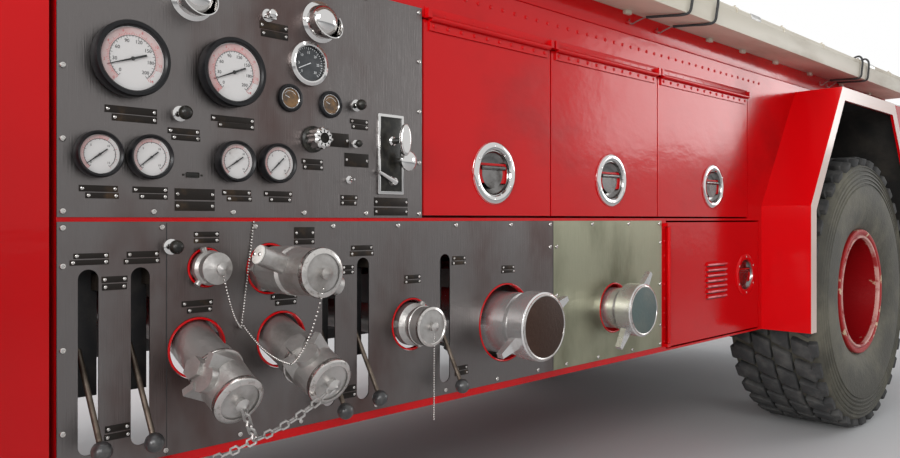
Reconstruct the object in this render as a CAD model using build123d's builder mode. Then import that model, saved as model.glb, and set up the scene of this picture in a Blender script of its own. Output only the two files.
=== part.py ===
from build123d import *
from math import asin, cos, pi, radians, sin
import os

os.makedirs("parts", exist_ok=True)

# An airport crash tender: a four-wheel fire engine, cab in front, engine at the back, pump bay on its
# left side. Millimetres. X points to the front, Y to the vehicle's left, Z up. The origin lies on
# the ground, half way along and half way across.

# Whole vehicle
half_length = 3750
bumper_depth = 110
rear_bumper_depth = 60
body_side = 1050
sill_z = 500
deck_z = 1605
sheet = 3
running_gap = 6
seat_gap = 0.3

# Wheels and axles
wheel_radius = 620
front_axle_x = 2182
rear_axle_x = -2318
wheel_centre_y = 1035
axle_z = wheel_radius
tyre_half_width = 200
tread_half_width = 165
bead_radius = 257
rim_flange_radius = 283
rim_half_width = 172
rim_flange_thickness = 12
rim_wall = 12
spindle_radius = 45
spindle_fit = 0.05
hub_radius = 110
drum_radius = 195
kingpin_y = 770
kingpin_radius = 25

# Frame
rail_inner_y = 360
rail_outer_y = 430
rail_bottom_z = 820
rail_top_z = 1000
rail_wall = 10
rail_rear_x = 150 - half_length
rail_front_x = half_length - 300

# Body sides
locker_inner_y = 560
locker_wall = 10
body_front_x = 1095
body_rear_x = 50 - half_length
band_top_z = 519
seam_bottom_z = 946
seam_top_z = 954
upper_panel_rear_x = 278
upper_panel_top_z = 1455
lower_panel_rear_x = -822
header_bottom_z = 1438
header_wall = 30

# Wheel arches and flares
flare_reach = 198
flare_wall = 12
flare_lip = 55
rear_arch_half = 702
rear_arch_top_half = 355
arch_bend_z = 1006
rear_arch_top_z = 1514
front_arch_half = 800
front_arch_top_half = 420
front_arch_top_z = 1412

# Compartment doors
door_thickness = 28
hinge_radius = 7
hinge_stand = 10
hinge_offset = 3
hinge_lug = 11.7
latch_radius = 82
latch_z = 1072
upper_door_bottom_z = 960
lower_door_bottom_z = 513
lower_door_top_z = 940

# Cab
cab_rear_x = body_front_x + 11
cab_front_x = half_length - bumper_depth
cab_roof_z = 2500
cab_wall = 40
windscreen_foot_z = 1480
windscreen_head_z = 2420
windscreen_head_x = cab_front_x - 260
roof_front_x = cab_front_x - 390
foot_floor_z = 1040
rear_floor_z = 1440
foot_well_x = cab_front_x - 620
glass_thickness = 6
glass_gap = 0.3


def block(x_range, y_range, z_range, mode=Mode.ADD):
    """Add or cut a box given by its lowest and highest value on each axis."""
    centre = [(low + high) / 2 for low, high in (x_range, y_range, z_range)]
    with Locations(tuple(centre)):
        Box(x_range[1] - x_range[0], y_range[1] - y_range[0], z_range[1] - z_range[0], mode=mode)


def slab(outline, y_range, mode=Mode.ADD):
    """Add or cut a plate whose outline is drawn in side view, as (x, z) corners."""
    with BuildSketch(Plane.XZ.offset(-y_range[0])) as profile:
        with BuildLine():
            Polyline(*outline, close=True)
        make_face()
    extrude(profile.sketch, amount=-(y_range[1] - y_range[0]), mode=mode)


def bar(start, end, radius, mode=Mode.ADD):
    """Add or cut a round bar between two points."""
    run = Vector(*end) - Vector(*start)
    with BuildSketch(Plane(origin=start, z_dir=run)) as profile:
        Circle(radius)
    extrude(profile.sketch, amount=run.length, mode=mode)


def knob(foot, way, reach, radius):
    """Add a stem from its foot that ends in a ball, whose middle lies at the reach."""
    section = [
        (0, 0),
        (radius * 0.4, 0),
        (radius * 0.4, reach - radius * 0.92),
        (radius * 0.8, reach - radius * 0.6),
        (radius, reach),
        (radius * 0.7, reach + radius * 0.7),
        (0, reach + radius),
    ]
    turned(section, foot, way)


def turned(section, origin, way):
    """Revolve (radius, distance) corners about the axis that leaves the origin along way."""
    way = Vector(*way).normalized()
    across = Vector(1, 0, 0) if abs(way.X) < 0.5 else Vector(0, 1, 0)
    sheet_plane = Plane(origin=tuple(origin), x_dir=tuple(across), z_dir=tuple(across.cross(way)))
    with BuildSketch(sheet_plane) as profile:
        with BuildLine():
            Polyline(*section, close=True)
        make_face()
    revolve(profile.sketch, axis=Axis(tuple(origin), tuple(way)))


def save(piece, name):
    """Label a finished piece and write it to its own file."""
    piece.part.label = name
    export_step(piece.part, f"parts/{name}.step")


def save_group(solids, name):
    """Write several touching solids as one node."""
    group = Compound(label=name, children=list(solids))
    export_step(group, f"parts/{name}.step")


def side_y(side, inner, outer):
    """Give an ordered y range on the left (1) or right (-1) side."""
    return tuple(sorted((side * inner, side * outer)))


def arch_outline(axle_x, half, top_half, top_z, inset):
    """Give the trapezoid of a wheel arch in side view, drawn in by an even inset."""
    foot = half - inset
    head = top_half - inset / 2
    return [
        (axle_x + foot, sill_z - 1),
        (axle_x + foot, arch_bend_z - inset / 3),
        (axle_x + head, top_z - inset),
        (axle_x - head, top_z - inset),
        (axle_x - foot, arch_bend_z - inset / 3),
        (axle_x - foot, sill_z - 1),
    ]


# Chassis frame: two channel rails, the cross-members between their webs, and the outriggers that
# carry the body sides, each a bar of its own riveted on
cross_member_x = (rail_rear_x + 200, -2850, -1700, -900, -50, 1300, 2800, rail_front_x - 70)
cross_member_half = 30
cross_member_z = (850, 970)
outrigger_x = (900, 250, -900, -1500)
outrigger_z = (860, 960)
with BuildPart() as chassis_frame:
    block((rail_rear_x, rail_front_x), (rail_inner_y, rail_outer_y), (rail_bottom_z, rail_top_z))
    block(
        (rail_rear_x - 1, rail_front_x + 1),
        (rail_inner_y - 1, rail_outer_y - rail_wall),
        (rail_bottom_z + rail_wall, rail_top_z - rail_wall),
        mode=Mode.SUBTRACT,
    )
    mirror(about=Plane.XZ)
with BuildPart() as cross_bars:
    web_inner_y = rail_outer_y - rail_wall
    for x in cross_member_x:
        block((x - cross_member_half, x + cross_member_half), (-web_inner_y, web_inner_y), cross_member_z)
    for x in outrigger_x:
        for side in (1, -1):
            outrigger_y = side_y(side, rail_outer_y, locker_inner_y)
            block((x - cross_member_half, x + cross_member_half), outrigger_y, outrigger_z)
save_group(chassis_frame.solids() + cross_bars.solids(), "chassis_frame")

# Leaf springs: four packs, each with its two hangers up to the rail
axle_tube_radius = 75
leaf_thickness = 14
leaf_lengths = (1100, 900, 700, 500, 300)
leaf_sag = 45
spring_width = 60
spring_y = (rail_inner_y + rail_outer_y) / 2
hanger_length = 60
pad_height = 8
stack_bottom_z = axle_z + axle_tube_radius + pad_height
main_leaf_z = stack_bottom_z + leaf_thickness * len(leaf_lengths)
leaf_radius = (leaf_lengths[0] ** 2 / 4 + leaf_sag**2) / (2 * leaf_sag)
with BuildPart() as leaf_springs:
    for axle_x in (front_axle_x, rear_axle_x):
        for side in (1, -1):
            middle = Plane.XZ.offset(-side * spring_y)
            for order, length in enumerate(leaf_lengths):
                with BuildSketch(middle):
                    with BuildLine():
                        arcs = []
                        inner_radius = leaf_radius + order * leaf_thickness
                        for radius in (inner_radius, inner_radius + leaf_thickness):
                            swing = asin(length / 2 / leaf_radius)
                            reach = radius * sin(swing)
                            rise = leaf_radius - radius * cos(swing)
                            low = main_leaf_z - (radius - leaf_radius)
                            arcs.append(
                                ThreePointArc(
                                    (axle_x - reach, main_leaf_z + rise),
                                    (axle_x, low),
                                    (axle_x + reach, main_leaf_z + rise),
                                )
                            )
                        Line(arcs[0] @ 0, arcs[1] @ 0)
                        Line(arcs[0] @ 1, arcs[1] @ 1)
                    make_face()
                extrude(amount=spring_width / 2, both=True)
            for end in (-1, 1):
                x = axle_x + end * (leaf_lengths[0] / 2 - hanger_length / 2)
                block(
                    (x - hanger_length / 2, x + hanger_length / 2),
                    (side * spring_y - spring_width / 2, side * spring_y + spring_width / 2),
                    (main_leaf_z + leaf_sag / 2, rail_bottom_z),
                )
save(leaf_springs, "leaf_springs")

# Rear axle: tube, banjo housing with its nose, spring pads, backing plates and spindles
housing_radius = 190
housing_half = 130
nose_length = 200
nose_radius = 60
backing_radius = 150
backing_offset = -158
backing_thickness = 20
spindle_end = 36
spring_pad_half = 60


def axle_centre(axle, axle_x, tube_end):
    """Add the tube, the banjo housing, its nose and the spring pads of one axle."""
    bar((axle_x, -tube_end, axle_z), (axle_x, tube_end, axle_z), axle_tube_radius)
    with Locations(Location((axle_x, 0, axle_z), (0, 90, 0))):
        Cylinder(housing_radius, 2 * housing_half)
    rims = axle.edges().filter_by(GeomType.CIRCLE)
    chamfer([rim for rim in rims if rim.radius > housing_radius - 1], length=50)
    nose_way = 1 if axle_x < 0 else -1
    nose_start = axle_x + nose_way * (housing_half - 5)
    bar((nose_start, 0, axle_z), (axle_x + nose_way * (housing_half + nose_length), 0, axle_z), nose_radius)
    for side in (1, -1):
        block(
            (axle_x - spring_pad_half, axle_x + spring_pad_half),
            (side * spring_y - spring_width / 2, side * spring_y + spring_width / 2),
            (axle_z, stack_bottom_z),
        )


with BuildPart() as rear_axle:
    plate_y = wheel_centre_y + backing_offset
    axle_centre(rear_axle, rear_axle_x, plate_y - backing_thickness + 1)
    for side in (1, -1):
        plate_start = (rear_axle_x, side * (plate_y - backing_thickness), axle_z)
        bar(plate_start, (rear_axle_x, side * plate_y, axle_z), backing_radius)
        spindle_tip = (rear_axle_x, side * (wheel_centre_y + spindle_end), axle_z)
        bar((rear_axle_x, side * (plate_y - 1), axle_z), spindle_tip, spindle_radius)
save(rear_axle, "rear_axle")

# Front axle: the same centre, ending in a boss round each kingpin
kingpin_boss_radius = 55
kingpin_boss_half = 80
kingpin_fit = 0.05
with BuildPart() as front_axle:
    axle_centre(front_axle, front_axle_x, kingpin_y)
    for side in (1, -1):
        foot = (front_axle_x, side * kingpin_y, axle_z - kingpin_boss_half)
        head = (front_axle_x, side * kingpin_y, axle_z + kingpin_boss_half)
        bar(foot, head, kingpin_boss_radius)
    for side in (1, -1):
        foot = (front_axle_x, side * kingpin_y, axle_z - kingpin_boss_half - 1)
        head = (front_axle_x, side * kingpin_y, axle_z + kingpin_boss_half + 1)
        bar(foot, head, kingpin_radius + kingpin_fit, mode=Mode.SUBTRACT)
save(front_axle, "front_axle")

# Steering knuckles: two lugs on the kingpin, backing plate, spindle and steering arm
knuckle_lug_thickness = 30
knuckle_web_inner = 64
arm_length = 230
arm_half_width = 24
arm_thickness = 22
rod_pin_radius = 12
rod_pin_fit = 0.05
tie_rod_radius = 18
tie_rod_eye_radius = 26
tie_rod_eye_height = 30
for side, name in ((1, "knuckle_left"), (-1, "knuckle_right")):
    with BuildPart() as knuckle:
        lug_gap = kingpin_boss_half + seat_gap
        plate_y = wheel_centre_y + backing_offset
        for way in (1, -1):
            near = axle_z + way * lug_gap
            far = axle_z + way * (lug_gap + knuckle_lug_thickness)
            lug_z = tuple(sorted((near, far)))
            block(
                (front_axle_x - kingpin_boss_radius, front_axle_x + kingpin_boss_radius),
                side_y(side, kingpin_y - kingpin_boss_radius, plate_y - 1),
                lug_z,
            )
        pin_half = lug_gap + knuckle_lug_thickness
        pin_foot = (front_axle_x, side * kingpin_y, axle_z - pin_half)
        bar(pin_foot, (front_axle_x, side * kingpin_y, axle_z + pin_half), kingpin_radius)
        block(
            (front_axle_x - kingpin_boss_radius, front_axle_x + kingpin_boss_radius),
            side_y(side, kingpin_y + knuckle_web_inner, plate_y - 1),
            (axle_z - pin_half, axle_z + pin_half),
        )
        plate_start = (front_axle_x, side * (plate_y - backing_thickness), axle_z)
        bar(plate_start, (front_axle_x, side * plate_y, axle_z), backing_radius)
        spindle_tip = (front_axle_x, side * (wheel_centre_y + spindle_end), axle_z)
        bar((front_axle_x, side * (plate_y - 1), axle_z), spindle_tip, spindle_radius)
        arm_top = axle_z - lug_gap - 4
        arm_x = front_axle_x - arm_length
        arm_y = side * kingpin_y
        block(
            (arm_x, front_axle_x - kingpin_boss_radius + 5),
            (arm_y - arm_half_width, arm_y + arm_half_width),
            (arm_top - arm_thickness, arm_top),
        )
        bar((arm_x, arm_y, arm_top - arm_thickness), (arm_x, arm_y, arm_top), arm_half_width)
        rod_z = arm_top - arm_thickness - seat_gap - tie_rod_eye_height
        bar((arm_x, arm_y, rod_z), (arm_x, arm_y, arm_top - 1), rod_pin_radius)
    save(knuckle, name)

# Tie rod between the two steering arms, an eye at each end
with BuildPart() as tie_rod:
    rod_x = front_axle_x - arm_length
    eye_y = kingpin_y
    eye_top = axle_z - kingpin_boss_half - seat_gap - 4 - arm_thickness - seat_gap
    rod_mid_z = eye_top - tie_rod_eye_height / 2
    bar((rod_x, -eye_y, rod_mid_z), (rod_x, eye_y, rod_mid_z), tie_rod_radius - 4)
    for side in (1, -1):
        eye_foot = (rod_x, side * eye_y, eye_top - tie_rod_eye_height)
        bar(eye_foot, (rod_x, side * eye_y, eye_top), tie_rod_eye_radius)
    for side in (1, -1):
        eye_foot = (rod_x, side * eye_y, eye_top - tie_rod_eye_height - 1)
        bar(eye_foot, (rod_x, side * eye_y, eye_top + 1), rod_pin_radius + rod_pin_fit, mode=Mode.SUBTRACT)
save(tie_rod, "tie_rod")

# Wheels: a deep-dished steel rim with its hub and drum, and a cross-country tyre
dish_offset = -80
dish_thickness = 16
drum_inner_offset = -150
hub_end = 52
cap_radius = 70
wheel_places = (
    ("front_left", front_axle_x, 1),
    ("front_right", front_axle_x, -1),
    ("rear_left", rear_axle_x, 1),
    ("rear_right", rear_axle_x, -1),
)
flange_inner = rim_half_width - rim_flange_thickness
rim_section = [
    (rim_flange_radius, rim_half_width),
    (rim_flange_radius, flange_inner),
    (bead_radius, flange_inner),
    (bead_radius, -flange_inner),
    (rim_flange_radius, -flange_inner),
    (rim_flange_radius, -rim_half_width),
    (bead_radius - rim_wall, -rim_half_width),
    (bead_radius - rim_wall, dish_offset - dish_thickness),
    (drum_radius, dish_offset - dish_thickness),
    (drum_radius, drum_inner_offset),
    (spindle_radius + spindle_fit, drum_inner_offset),
    (spindle_radius + spindle_fit, spindle_end + 2),
    (0, spindle_end + 2),
    (0, hub_end + 20),
    (cap_radius, hub_end + 12),
    (cap_radius + 8, hub_end),
    (hub_radius, hub_end),
    (hub_radius, dish_offset + 30),
    (hub_radius + 40, dish_offset),
    (bead_radius - rim_wall, dish_offset),
    (bead_radius - rim_wall, rim_half_width),
]
tyre_bore = bead_radius + seat_gap
bead_half = flange_inner - seat_gap
tread_sides = 36
to_corner = 1 / cos(pi / tread_sides)
groove_radius = wheel_radius - 20
belt_radius = groove_radius - 24
centre_groove = 6
half_side = 180 / tread_sides
# Half of the tyre's section: radius, offset from its middle
sidewall = (
    (groove_radius - 6, tread_half_width - 5),
    (belt_radius - 12, tyre_half_width - 14),
    (440, tyre_half_width),
    (rim_flange_radius + 4, bead_half),
)


def tread_outline(first):
    """Give the toothed outline of half a tread, with a block on every other flat from the first."""
    corners = []
    for flat in range(tread_sides):
        radius = (wheel_radius if flat % 2 == first else groove_radius) * to_corner
        for edge in (-half_side, half_side):
            angle = radians(2 * half_side * flat + edge - 90)
            corners.append((radius * cos(angle), radius * sin(angle)))
    return corners


for name, axle_x, side in wheel_places:
    centre = (axle_x, side * wheel_centre_y, axle_z)
    with BuildPart() as rim:
        turned(rim_section, centre, (0, side, 0))
    save(rim, f"rim_{name}")
    upright = Plane(origin=centre, x_dir=(1, 0, 0), z_dir=(0, -1, 0))
    with BuildPart() as tyre:
        mirrored = [(radius, -offset) for radius, offset in reversed(sidewall)]
        for radius, offset in mirrored + list(sidewall):
            with BuildSketch(upright.offset(offset)):
                RegularPolygon(radius * to_corner, tread_sides, rotation=half_side)
        loft(ruled=True)
        for half, way in ((0, 1), (1, -1)):
            with BuildSketch(upright.offset(way * centre_groove)):
                with BuildLine():
                    Polyline(*tread_outline(half), close=True)
                make_face()
                RegularPolygon(belt_radius * to_corner, tread_sides, rotation=half_side, mode=Mode.SUBTRACT)
            extrude(amount=way * (tread_half_width - centre_groove))
        with BuildSketch(upright):
            RegularPolygon(tyre_bore * to_corner, tread_sides, rotation=half_side)
        extrude(amount=bead_half + 1, both=True, mode=Mode.SUBTRACT)
    save(tyre, f"tyre_{name}")

# Drive line: transfer case under the frame, two shafts to the axles and one from the engine
case_x = (-250, 150)
case_half_width = 270
case_bottom_z = 540
shaft_radius = 38
input_shaft_y = 230
input_shaft_z = 780
input_shaft_radius = 30
housing_front_x = -2660
tank_rear_x = housing_front_x + 60
engine_front_x = housing_front_x - 40
gear_drop_x = tank_rear_x
with BuildPart() as drive_shafts:
    block(case_x, (-case_half_width, case_half_width), (case_bottom_z, cross_member_z[0]))
    chamfer(drive_shafts.edges().filter_by(Axis.X), length=40)
    nose_gap = housing_half + nose_length
    bar((case_x[1] - 1, 0, axle_z), (front_axle_x - nose_gap, 0, axle_z), shaft_radius)
    bar((case_x[0] + 1, 0, axle_z), (rear_axle_x + nose_gap, 0, axle_z), shaft_radius)
    bar(
        (case_x[0] + 1, input_shaft_y, input_shaft_z),
        (gear_drop_x, input_shaft_y, input_shaft_z),
        input_shaft_radius,
    )
save(drive_shafts, "drive_shafts")

# Engine, one plain mass behind the rear axle, with the drop gear to the input shaft
engine_rear_x = body_rear_x + 200
engine_half_width = 330
engine_top_z = 1500
with BuildPart() as engine:
    engine_y = (-engine_half_width, engine_half_width)
    block((engine_rear_x, engine_front_x), engine_y, (cross_member_z[1], engine_top_z))
    block((engine_front_x - 1, gear_drop_x), (130, engine_half_width), (740, 1060))
save(engine, "engine")

# Exhaust: silencer beside the right rail and its tail pipe
silencer_radius = 105
silencer_x = (body_rear_x + 220, body_rear_x + 660)
tail_pipe_x = body_rear_x + 30
tail_pipe_radius = 35
silencer_y = -620
silencer_z = 650
with BuildPart() as exhaust:
    silencer_ends = [(x, silencer_y, silencer_z) for x in silencer_x]
    bar(*silencer_ends, silencer_radius)
    chamfer(exhaust.edges().filter_by(GeomType.CIRCLE), length=20)
    bar((tail_pipe_x, silencer_y, silencer_z), (silencer_x[0] + 5, silencer_y, silencer_z), tail_pipe_radius)
    bracket_x = sum(silencer_x) / 2
    bracket_y = (silencer_y + silencer_radius - 5, 35 - rail_outer_y)
    block((bracket_x - 20, bracket_x + 20), bracket_y, (silencer_z - 10, rail_bottom_z))
save(exhaust, "exhaust")

# Under-floor tanks: an air tank beside each rail, the fuel tank behind the right front wheel
air_tank_radius = 58
air_tank_z = 720
air_tank_x = (-1500, -1000)
fuel_tank_x = (cab_rear_x + cab_wall, 1366)
fuel_tank_y = (cab_wall - body_side, -480)
fuel_tank_z = (560, 980)
with BuildPart() as underbody_tanks:
    block(fuel_tank_x, fuel_tank_y, fuel_tank_z)
    fillet(underbody_tanks.edges().filter_by(Axis.Z), radius=30)
    for side in (1, -1):
        tank_y = side * (rail_outer_y + locker_inner_y) / 2
        bar((air_tank_x[0], tank_y, air_tank_z), (air_tank_x[1], tank_y, air_tank_z), air_tank_radius)
        middle = sum(air_tank_x) / 2
        block(
            (middle - 20, middle + 20),
            side_y(side, rail_inner_y + 20, rail_outer_y + 60),
            (air_tank_z + 40, rail_bottom_z),
        )
save(underbody_tanks, "underbody_tanks")

# Water and foam tank between the side lockers, standing on the rails
tank_half_width = 545
tank_top_z = 1950
tank_front_x = body_front_x - 45
with BuildPart() as water_tank:
    block((tank_rear_x, tank_front_x), (-tank_half_width, tank_half_width), (rail_top_z, tank_top_z))
    fillet(water_tank.edges().filter_by(Axis.X).group_by(Axis.Z)[-1], radius=60)
    with Locations((300, 0, tank_top_z), (-1400, 0, tank_top_z)):
        Cylinder(230, 80)
save(water_tank, "water_tank")

# Body sides: lockers, pump bay, wheel arch with its flare, engine bay wall
# Each lift-up door: rear edge, front edge, latch (x)
upper_doors_left = ((-218, 270, 18), (-797, -224, -525), (-1481, -803, -1195))
upper_doors_right = ((-198, 1079, 440), (-1481, -204, -842))
lower_door = (-1582, -862)
gauge_bay_rear_x = upper_panel_rear_x + 10
side_rear_foot_z = 700
rear_side_wall = 20
side_outline = [
    (body_front_x, sill_z),
    (body_front_x, deck_z),
    (body_rear_x, deck_z),
    (body_rear_x, side_rear_foot_z),
    (rear_axle_x - rear_arch_half, sill_z),
]
rear_arch = (rear_axle_x, rear_arch_half, rear_arch_top_half, rear_arch_top_z)
upper_hinge_z = header_bottom_z - running_gap + hinge_offset
hinge_y = body_side + hinge_stand
lower_hinge_x = lower_door[1] + hinge_offset
for side, name in ((1, "body_left"), (-1, "body_right")):
    doors = upper_doors_left if side == 1 else upper_doors_right
    with BuildPart() as body:
        slab(side_outline, side_y(side, locker_inner_y, body_side))
        arch_y = side_y(side, locker_inner_y - 1, body_side + 1)
        slab(arch_outline(*rear_arch, flare_wall), arch_y, mode=Mode.SUBTRACT)
        floor = body_front_x - locker_wall
        inner = locker_inner_y + locker_wall
        open_y = side_y(side, inner, body_side + 1)
        bay = (doors[-1][0] - running_gap, doors[0][1] + running_gap)
        block(bay, open_y, (seam_top_z, header_bottom_z), mode=Mode.SUBTRACT)
        if side == 1:
            block((gauge_bay_rear_x, floor), open_y, (seam_top_z + 6, header_bottom_z), mode=Mode.SUBTRACT)
        under_deck = (header_bottom_z - 1, deck_z - locker_wall)
        block((bay[0], floor), side_y(side, inner, body_side - header_wall), under_deck, mode=Mode.SUBTRACT)
        pump_bay = (lower_panel_rear_x + locker_wall, floor)
        open_through = side_y(side, locker_inner_y - 1, body_side + 1)
        block(pump_bay, open_through, (band_top_z, seam_bottom_z), mode=Mode.SUBTRACT)
        behind_band = side_y(side, locker_inner_y - 1, body_side - 50)
        block(pump_bay, behind_band, (sill_z - 1, band_top_z + 1), mode=Mode.SUBTRACT)
        lower_bay = (lower_door[0] - running_gap, lower_door[1] + running_gap)
        lower_bay_z = (lower_door_bottom_z - running_gap, lower_door_top_z + running_gap)
        block(lower_bay, open_y, lower_bay_z, mode=Mode.SUBTRACT)
        rear_bay = (body_rear_x - 1, rear_axle_x - rear_arch_half - 5)
        rear_bay_y = side_y(side, locker_inner_y - 1, body_side - rear_side_wall)
        block(rear_bay, rear_bay_y, (sill_z - 1, deck_z - locker_wall), mode=Mode.SUBTRACT)
        lug_y = side_y(side, body_side - 2, hinge_y + hinge_radius)
        for low, high, latch_x in doors:
            for lug in ((low + 2, low + 2 + hinge_lug), (high - 2 - hinge_lug, high - 2)):
                block(lug, lug_y, (upper_hinge_z, upper_hinge_z + 22))
        bottom_lug = (lower_door_bottom_z + 2, lower_door_bottom_z + 2 + hinge_lug)
        top_lug = (lower_door_top_z - 2 - hinge_lug, lower_door_top_z - 2)
        for lug in (bottom_lug, top_lug):
            block((lower_hinge_x, lower_hinge_x + 20), lug_y, lug)
    save(body, name)

# Wheel arch flares: a folded sheet round each arch with its lip turned in
front_arch = (front_axle_x, front_arch_half, front_arch_top_half, front_arch_top_z)
for arch, name in ((rear_arch, "rear_flares"), (front_arch, "front_flares")):
    with BuildPart() as flares:
        for side in (1, -1):
            flare_outline = arch_outline(*arch, 0)
            flare_outline[0] = (flare_outline[0][0], sill_z)
            flare_outline[-1] = (flare_outline[-1][0], sill_z)
            slab(flare_outline, side_y(side, body_side, body_side + flare_reach))
            wall_y = side_y(side, body_side - 1, body_side + flare_reach - flare_wall)
            slab(arch_outline(*arch, flare_wall), wall_y, mode=Mode.SUBTRACT)
            lip_y = side_y(side, body_side, body_side + flare_reach + 1)
            slab(arch_outline(*arch, flare_lip), lip_y, mode=Mode.SUBTRACT)
    save(flares, name)

# Deck plates over the side lockers, cut out round the engine housing
deck_thickness = 6
housing_half_width = 640
with BuildPart() as deck_plates:
    block((body_rear_x, body_front_x), (locker_inner_y, body_side), (deck_z, deck_z + deck_thickness))
    housing_edge = (body_rear_x - 1, housing_front_x)
    through_deck = (deck_z - 1, deck_z + deck_thickness + 1)
    block(housing_edge, (0, housing_half_width), through_deck, mode=Mode.SUBTRACT)
    mirror(about=Plane.XZ)
save(deck_plates, "deck_plates")

# Compartment doors: lift-up doors hung from the header, and louvred doors hung at their front edge
pocket_radius = 66
pocket_depth = 18
paddle_height = 26
louvre_count = 7
louvre_pitch = 20
louvre_x = (-1294, -1143)
louvre_bottom_z = 659
louvre_stand = 10
lower_latch_x = -1464
lower_latch_z = 729


def latch(side, x, z):
    """Add the raised ring of a flush latch, its round pocket and the paddle in it."""
    face = side * body_side
    bar((x, face - side * 2, z), (x, face + side * 4, z), latch_radius)
    bar((x, face - side * pocket_depth, z), (x, face + side * 5, z), pocket_radius, mode=Mode.SUBTRACT)
    block(
        (x - pocket_radius - 2, x + pocket_radius + 2),
        side_y(side, body_side - pocket_depth - 2, body_side - pocket_depth + 12),
        (z - paddle_height, z + paddle_height),
    )


def door_y(side):
    """Give the thickness range of a door that lies flush with the body side."""
    return side_y(side, body_side - door_thickness, body_side)


upper_door_top_z = header_bottom_z - running_gap
for side, word, doors in ((1, "left", upper_doors_left), (-1, "right", upper_doors_right)):
    for order, (low, high, latch_x) in enumerate(doors, start=1):
        with BuildPart() as door:
            block((low, high), door_y(side), (upper_door_bottom_z, upper_door_top_z))
            latch(side, latch_x, latch_z)
            block(
                (low + 16, high - 16),
                side_y(side, body_side - 1, body_side + 5),
                (upper_hinge_z - 28, upper_hinge_z),
            )
            bar(
                (low + 2 + hinge_lug + seat_gap, side * hinge_y, upper_hinge_z),
                (high - 2 - hinge_lug - seat_gap, side * hinge_y, upper_hinge_z),
                hinge_radius,
            )
        save(door, f"locker_door_{word}_{order}")
    with BuildPart() as door:
        block(lower_door, door_y(side), (lower_door_bottom_z, lower_door_top_z))
        latch(side, lower_latch_x, lower_latch_z)
        for step in range(louvre_count):
            z = louvre_bottom_z + step * louvre_pitch
            face = side * (body_side - 1)
            with BuildSketch(Plane.YZ.offset(louvre_x[0])):
                with BuildLine():
                    Polyline((face, z), (face + side * louvre_stand, z), (face, z + 16), close=True)
                make_face()
            extrude(amount=louvre_x[1] - louvre_x[0])
        block(
            (lower_hinge_x - 28, lower_hinge_x),
            side_y(side, body_side - 1, body_side + 5),
            (lower_door_bottom_z + 16, lower_door_top_z - 16),
        )
        bar(
            (lower_hinge_x, side * hinge_y, lower_door_bottom_z + 2 + hinge_lug + seat_gap),
            (lower_hinge_x, side * hinge_y, lower_door_top_z - 2 - hinge_lug - seat_gap),
            hinge_radius,
        )
    save(door, f"louvre_door_{word}")

# Pump bay fittings: (x, z) on the panel, then sizes
gauges = (
    (978, 1230, 66.5, 30),
    (784, 1232, 66.5, 30),
    (1032, 1061, 40, 25),
    (943, 1061, 40, 25),
    (776, 1062, 40, 25),
    (683, 1063, 40, 25),
    (603, 1276, 47.5, 12),
    (647, 1200, 29, 8),
    (546, 1197, 29, 8),
)
gauge_body_depth = 60
gauge_hole_inset = 8
slots = (1045, 956, 549, 456, 201)
slot_width = 34
slot_z = (549, 865)
# Angled discharges: x and z of the hole, its radius, reach of the cap, fall of the cap, turn of the plug
discharges = ((848, 709, 58.5, 155, 74, 25), (665.5, 706, 58.5, 169, 63, 50))
right_discharges = ((848, 709, 58.5, 155, 74, 40), (310, 706, 58.5, 155, 74, 40))
# Straight outlets: x and z of the hole, its radius, reach of the cap
small_outlet = (830, 859, 38.5, 54)
valve_outlet = (694, 851, 52.5, 184)
middle_outlet = (310, 703, 62.5, 69)
# Suction inlets: x and z of the hole, its radius, reach of the cap, cap and neck radius, turn of the arms
suctions = ((-26, 676, 105, 131, 88.5, 82, 25), (-538, 674, 79, 106, 80, 63, 52))
right_suctions = ((-26, 676, 105, 131, 88.5, 82, 25),)
panel_face = body_side + sheet

# Stainless sheets: the gauge panel, the lower pump panel and the right pump panel
with BuildPart() as pump_panels:
    block((upper_panel_rear_x, body_front_x), (body_side, panel_face), (seam_top_z, upper_panel_top_z))
    for x, z, radius, stand in gauges:
        bar((x, body_side - 1, z), (x, panel_face + 1, z), radius - gauge_hole_inset, mode=Mode.SUBTRACT)
    lower_panel_x = (lower_panel_rear_x, body_front_x)
    block(lower_panel_x, (body_side, panel_face), (band_top_z, seam_bottom_z))
    round_holes = discharges + (small_outlet, valve_outlet, middle_outlet) + suctions
    for x, z, radius, *fitting in round_holes:
        bar((x, body_side - 1, z), (x, panel_face + 1, z), radius, mode=Mode.SUBTRACT)
    with BuildSketch(Plane.XZ.offset(-panel_face)):
        for x in slots:
            with Locations((x, (slot_z[0] + slot_z[1]) / 2)):
                SlotOverall(slot_z[1] - slot_z[0], slot_width, rotation=90)
    extrude(amount=2 * sheet, both=True, mode=Mode.SUBTRACT)
    block(lower_panel_x, (-panel_face, -body_side), (band_top_z, seam_bottom_z))
    for x, z, radius, *fitting in right_discharges + right_suctions:
        bar((x, -body_side + 1, z), (x, -panel_face - 1, z), radius, mode=Mode.SUBTRACT)
save(pump_panels, "pump_panels")

# Gauges: a bezel on the panel with the dial set back in it, and a body through the panel
bezel_lip = 7
dial_depth = 5
with BuildPart() as pump_gauges:
    for x, z, radius, stand in gauges:
        body_radius = radius - gauge_hole_inset - seat_gap
        section = [
            (0, -gauge_body_depth),
            (body_radius, -gauge_body_depth),
            (body_radius, 0),
            (radius, 0),
            (radius, stand),
            (radius - bezel_lip, stand),
            (radius - bezel_lip, stand - dial_depth),
            (0, stand - dial_depth),
        ]
        turned(section, (x, panel_face, z), (0, 1, 0))
save(pump_gauges, "pump_gauges")

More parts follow.
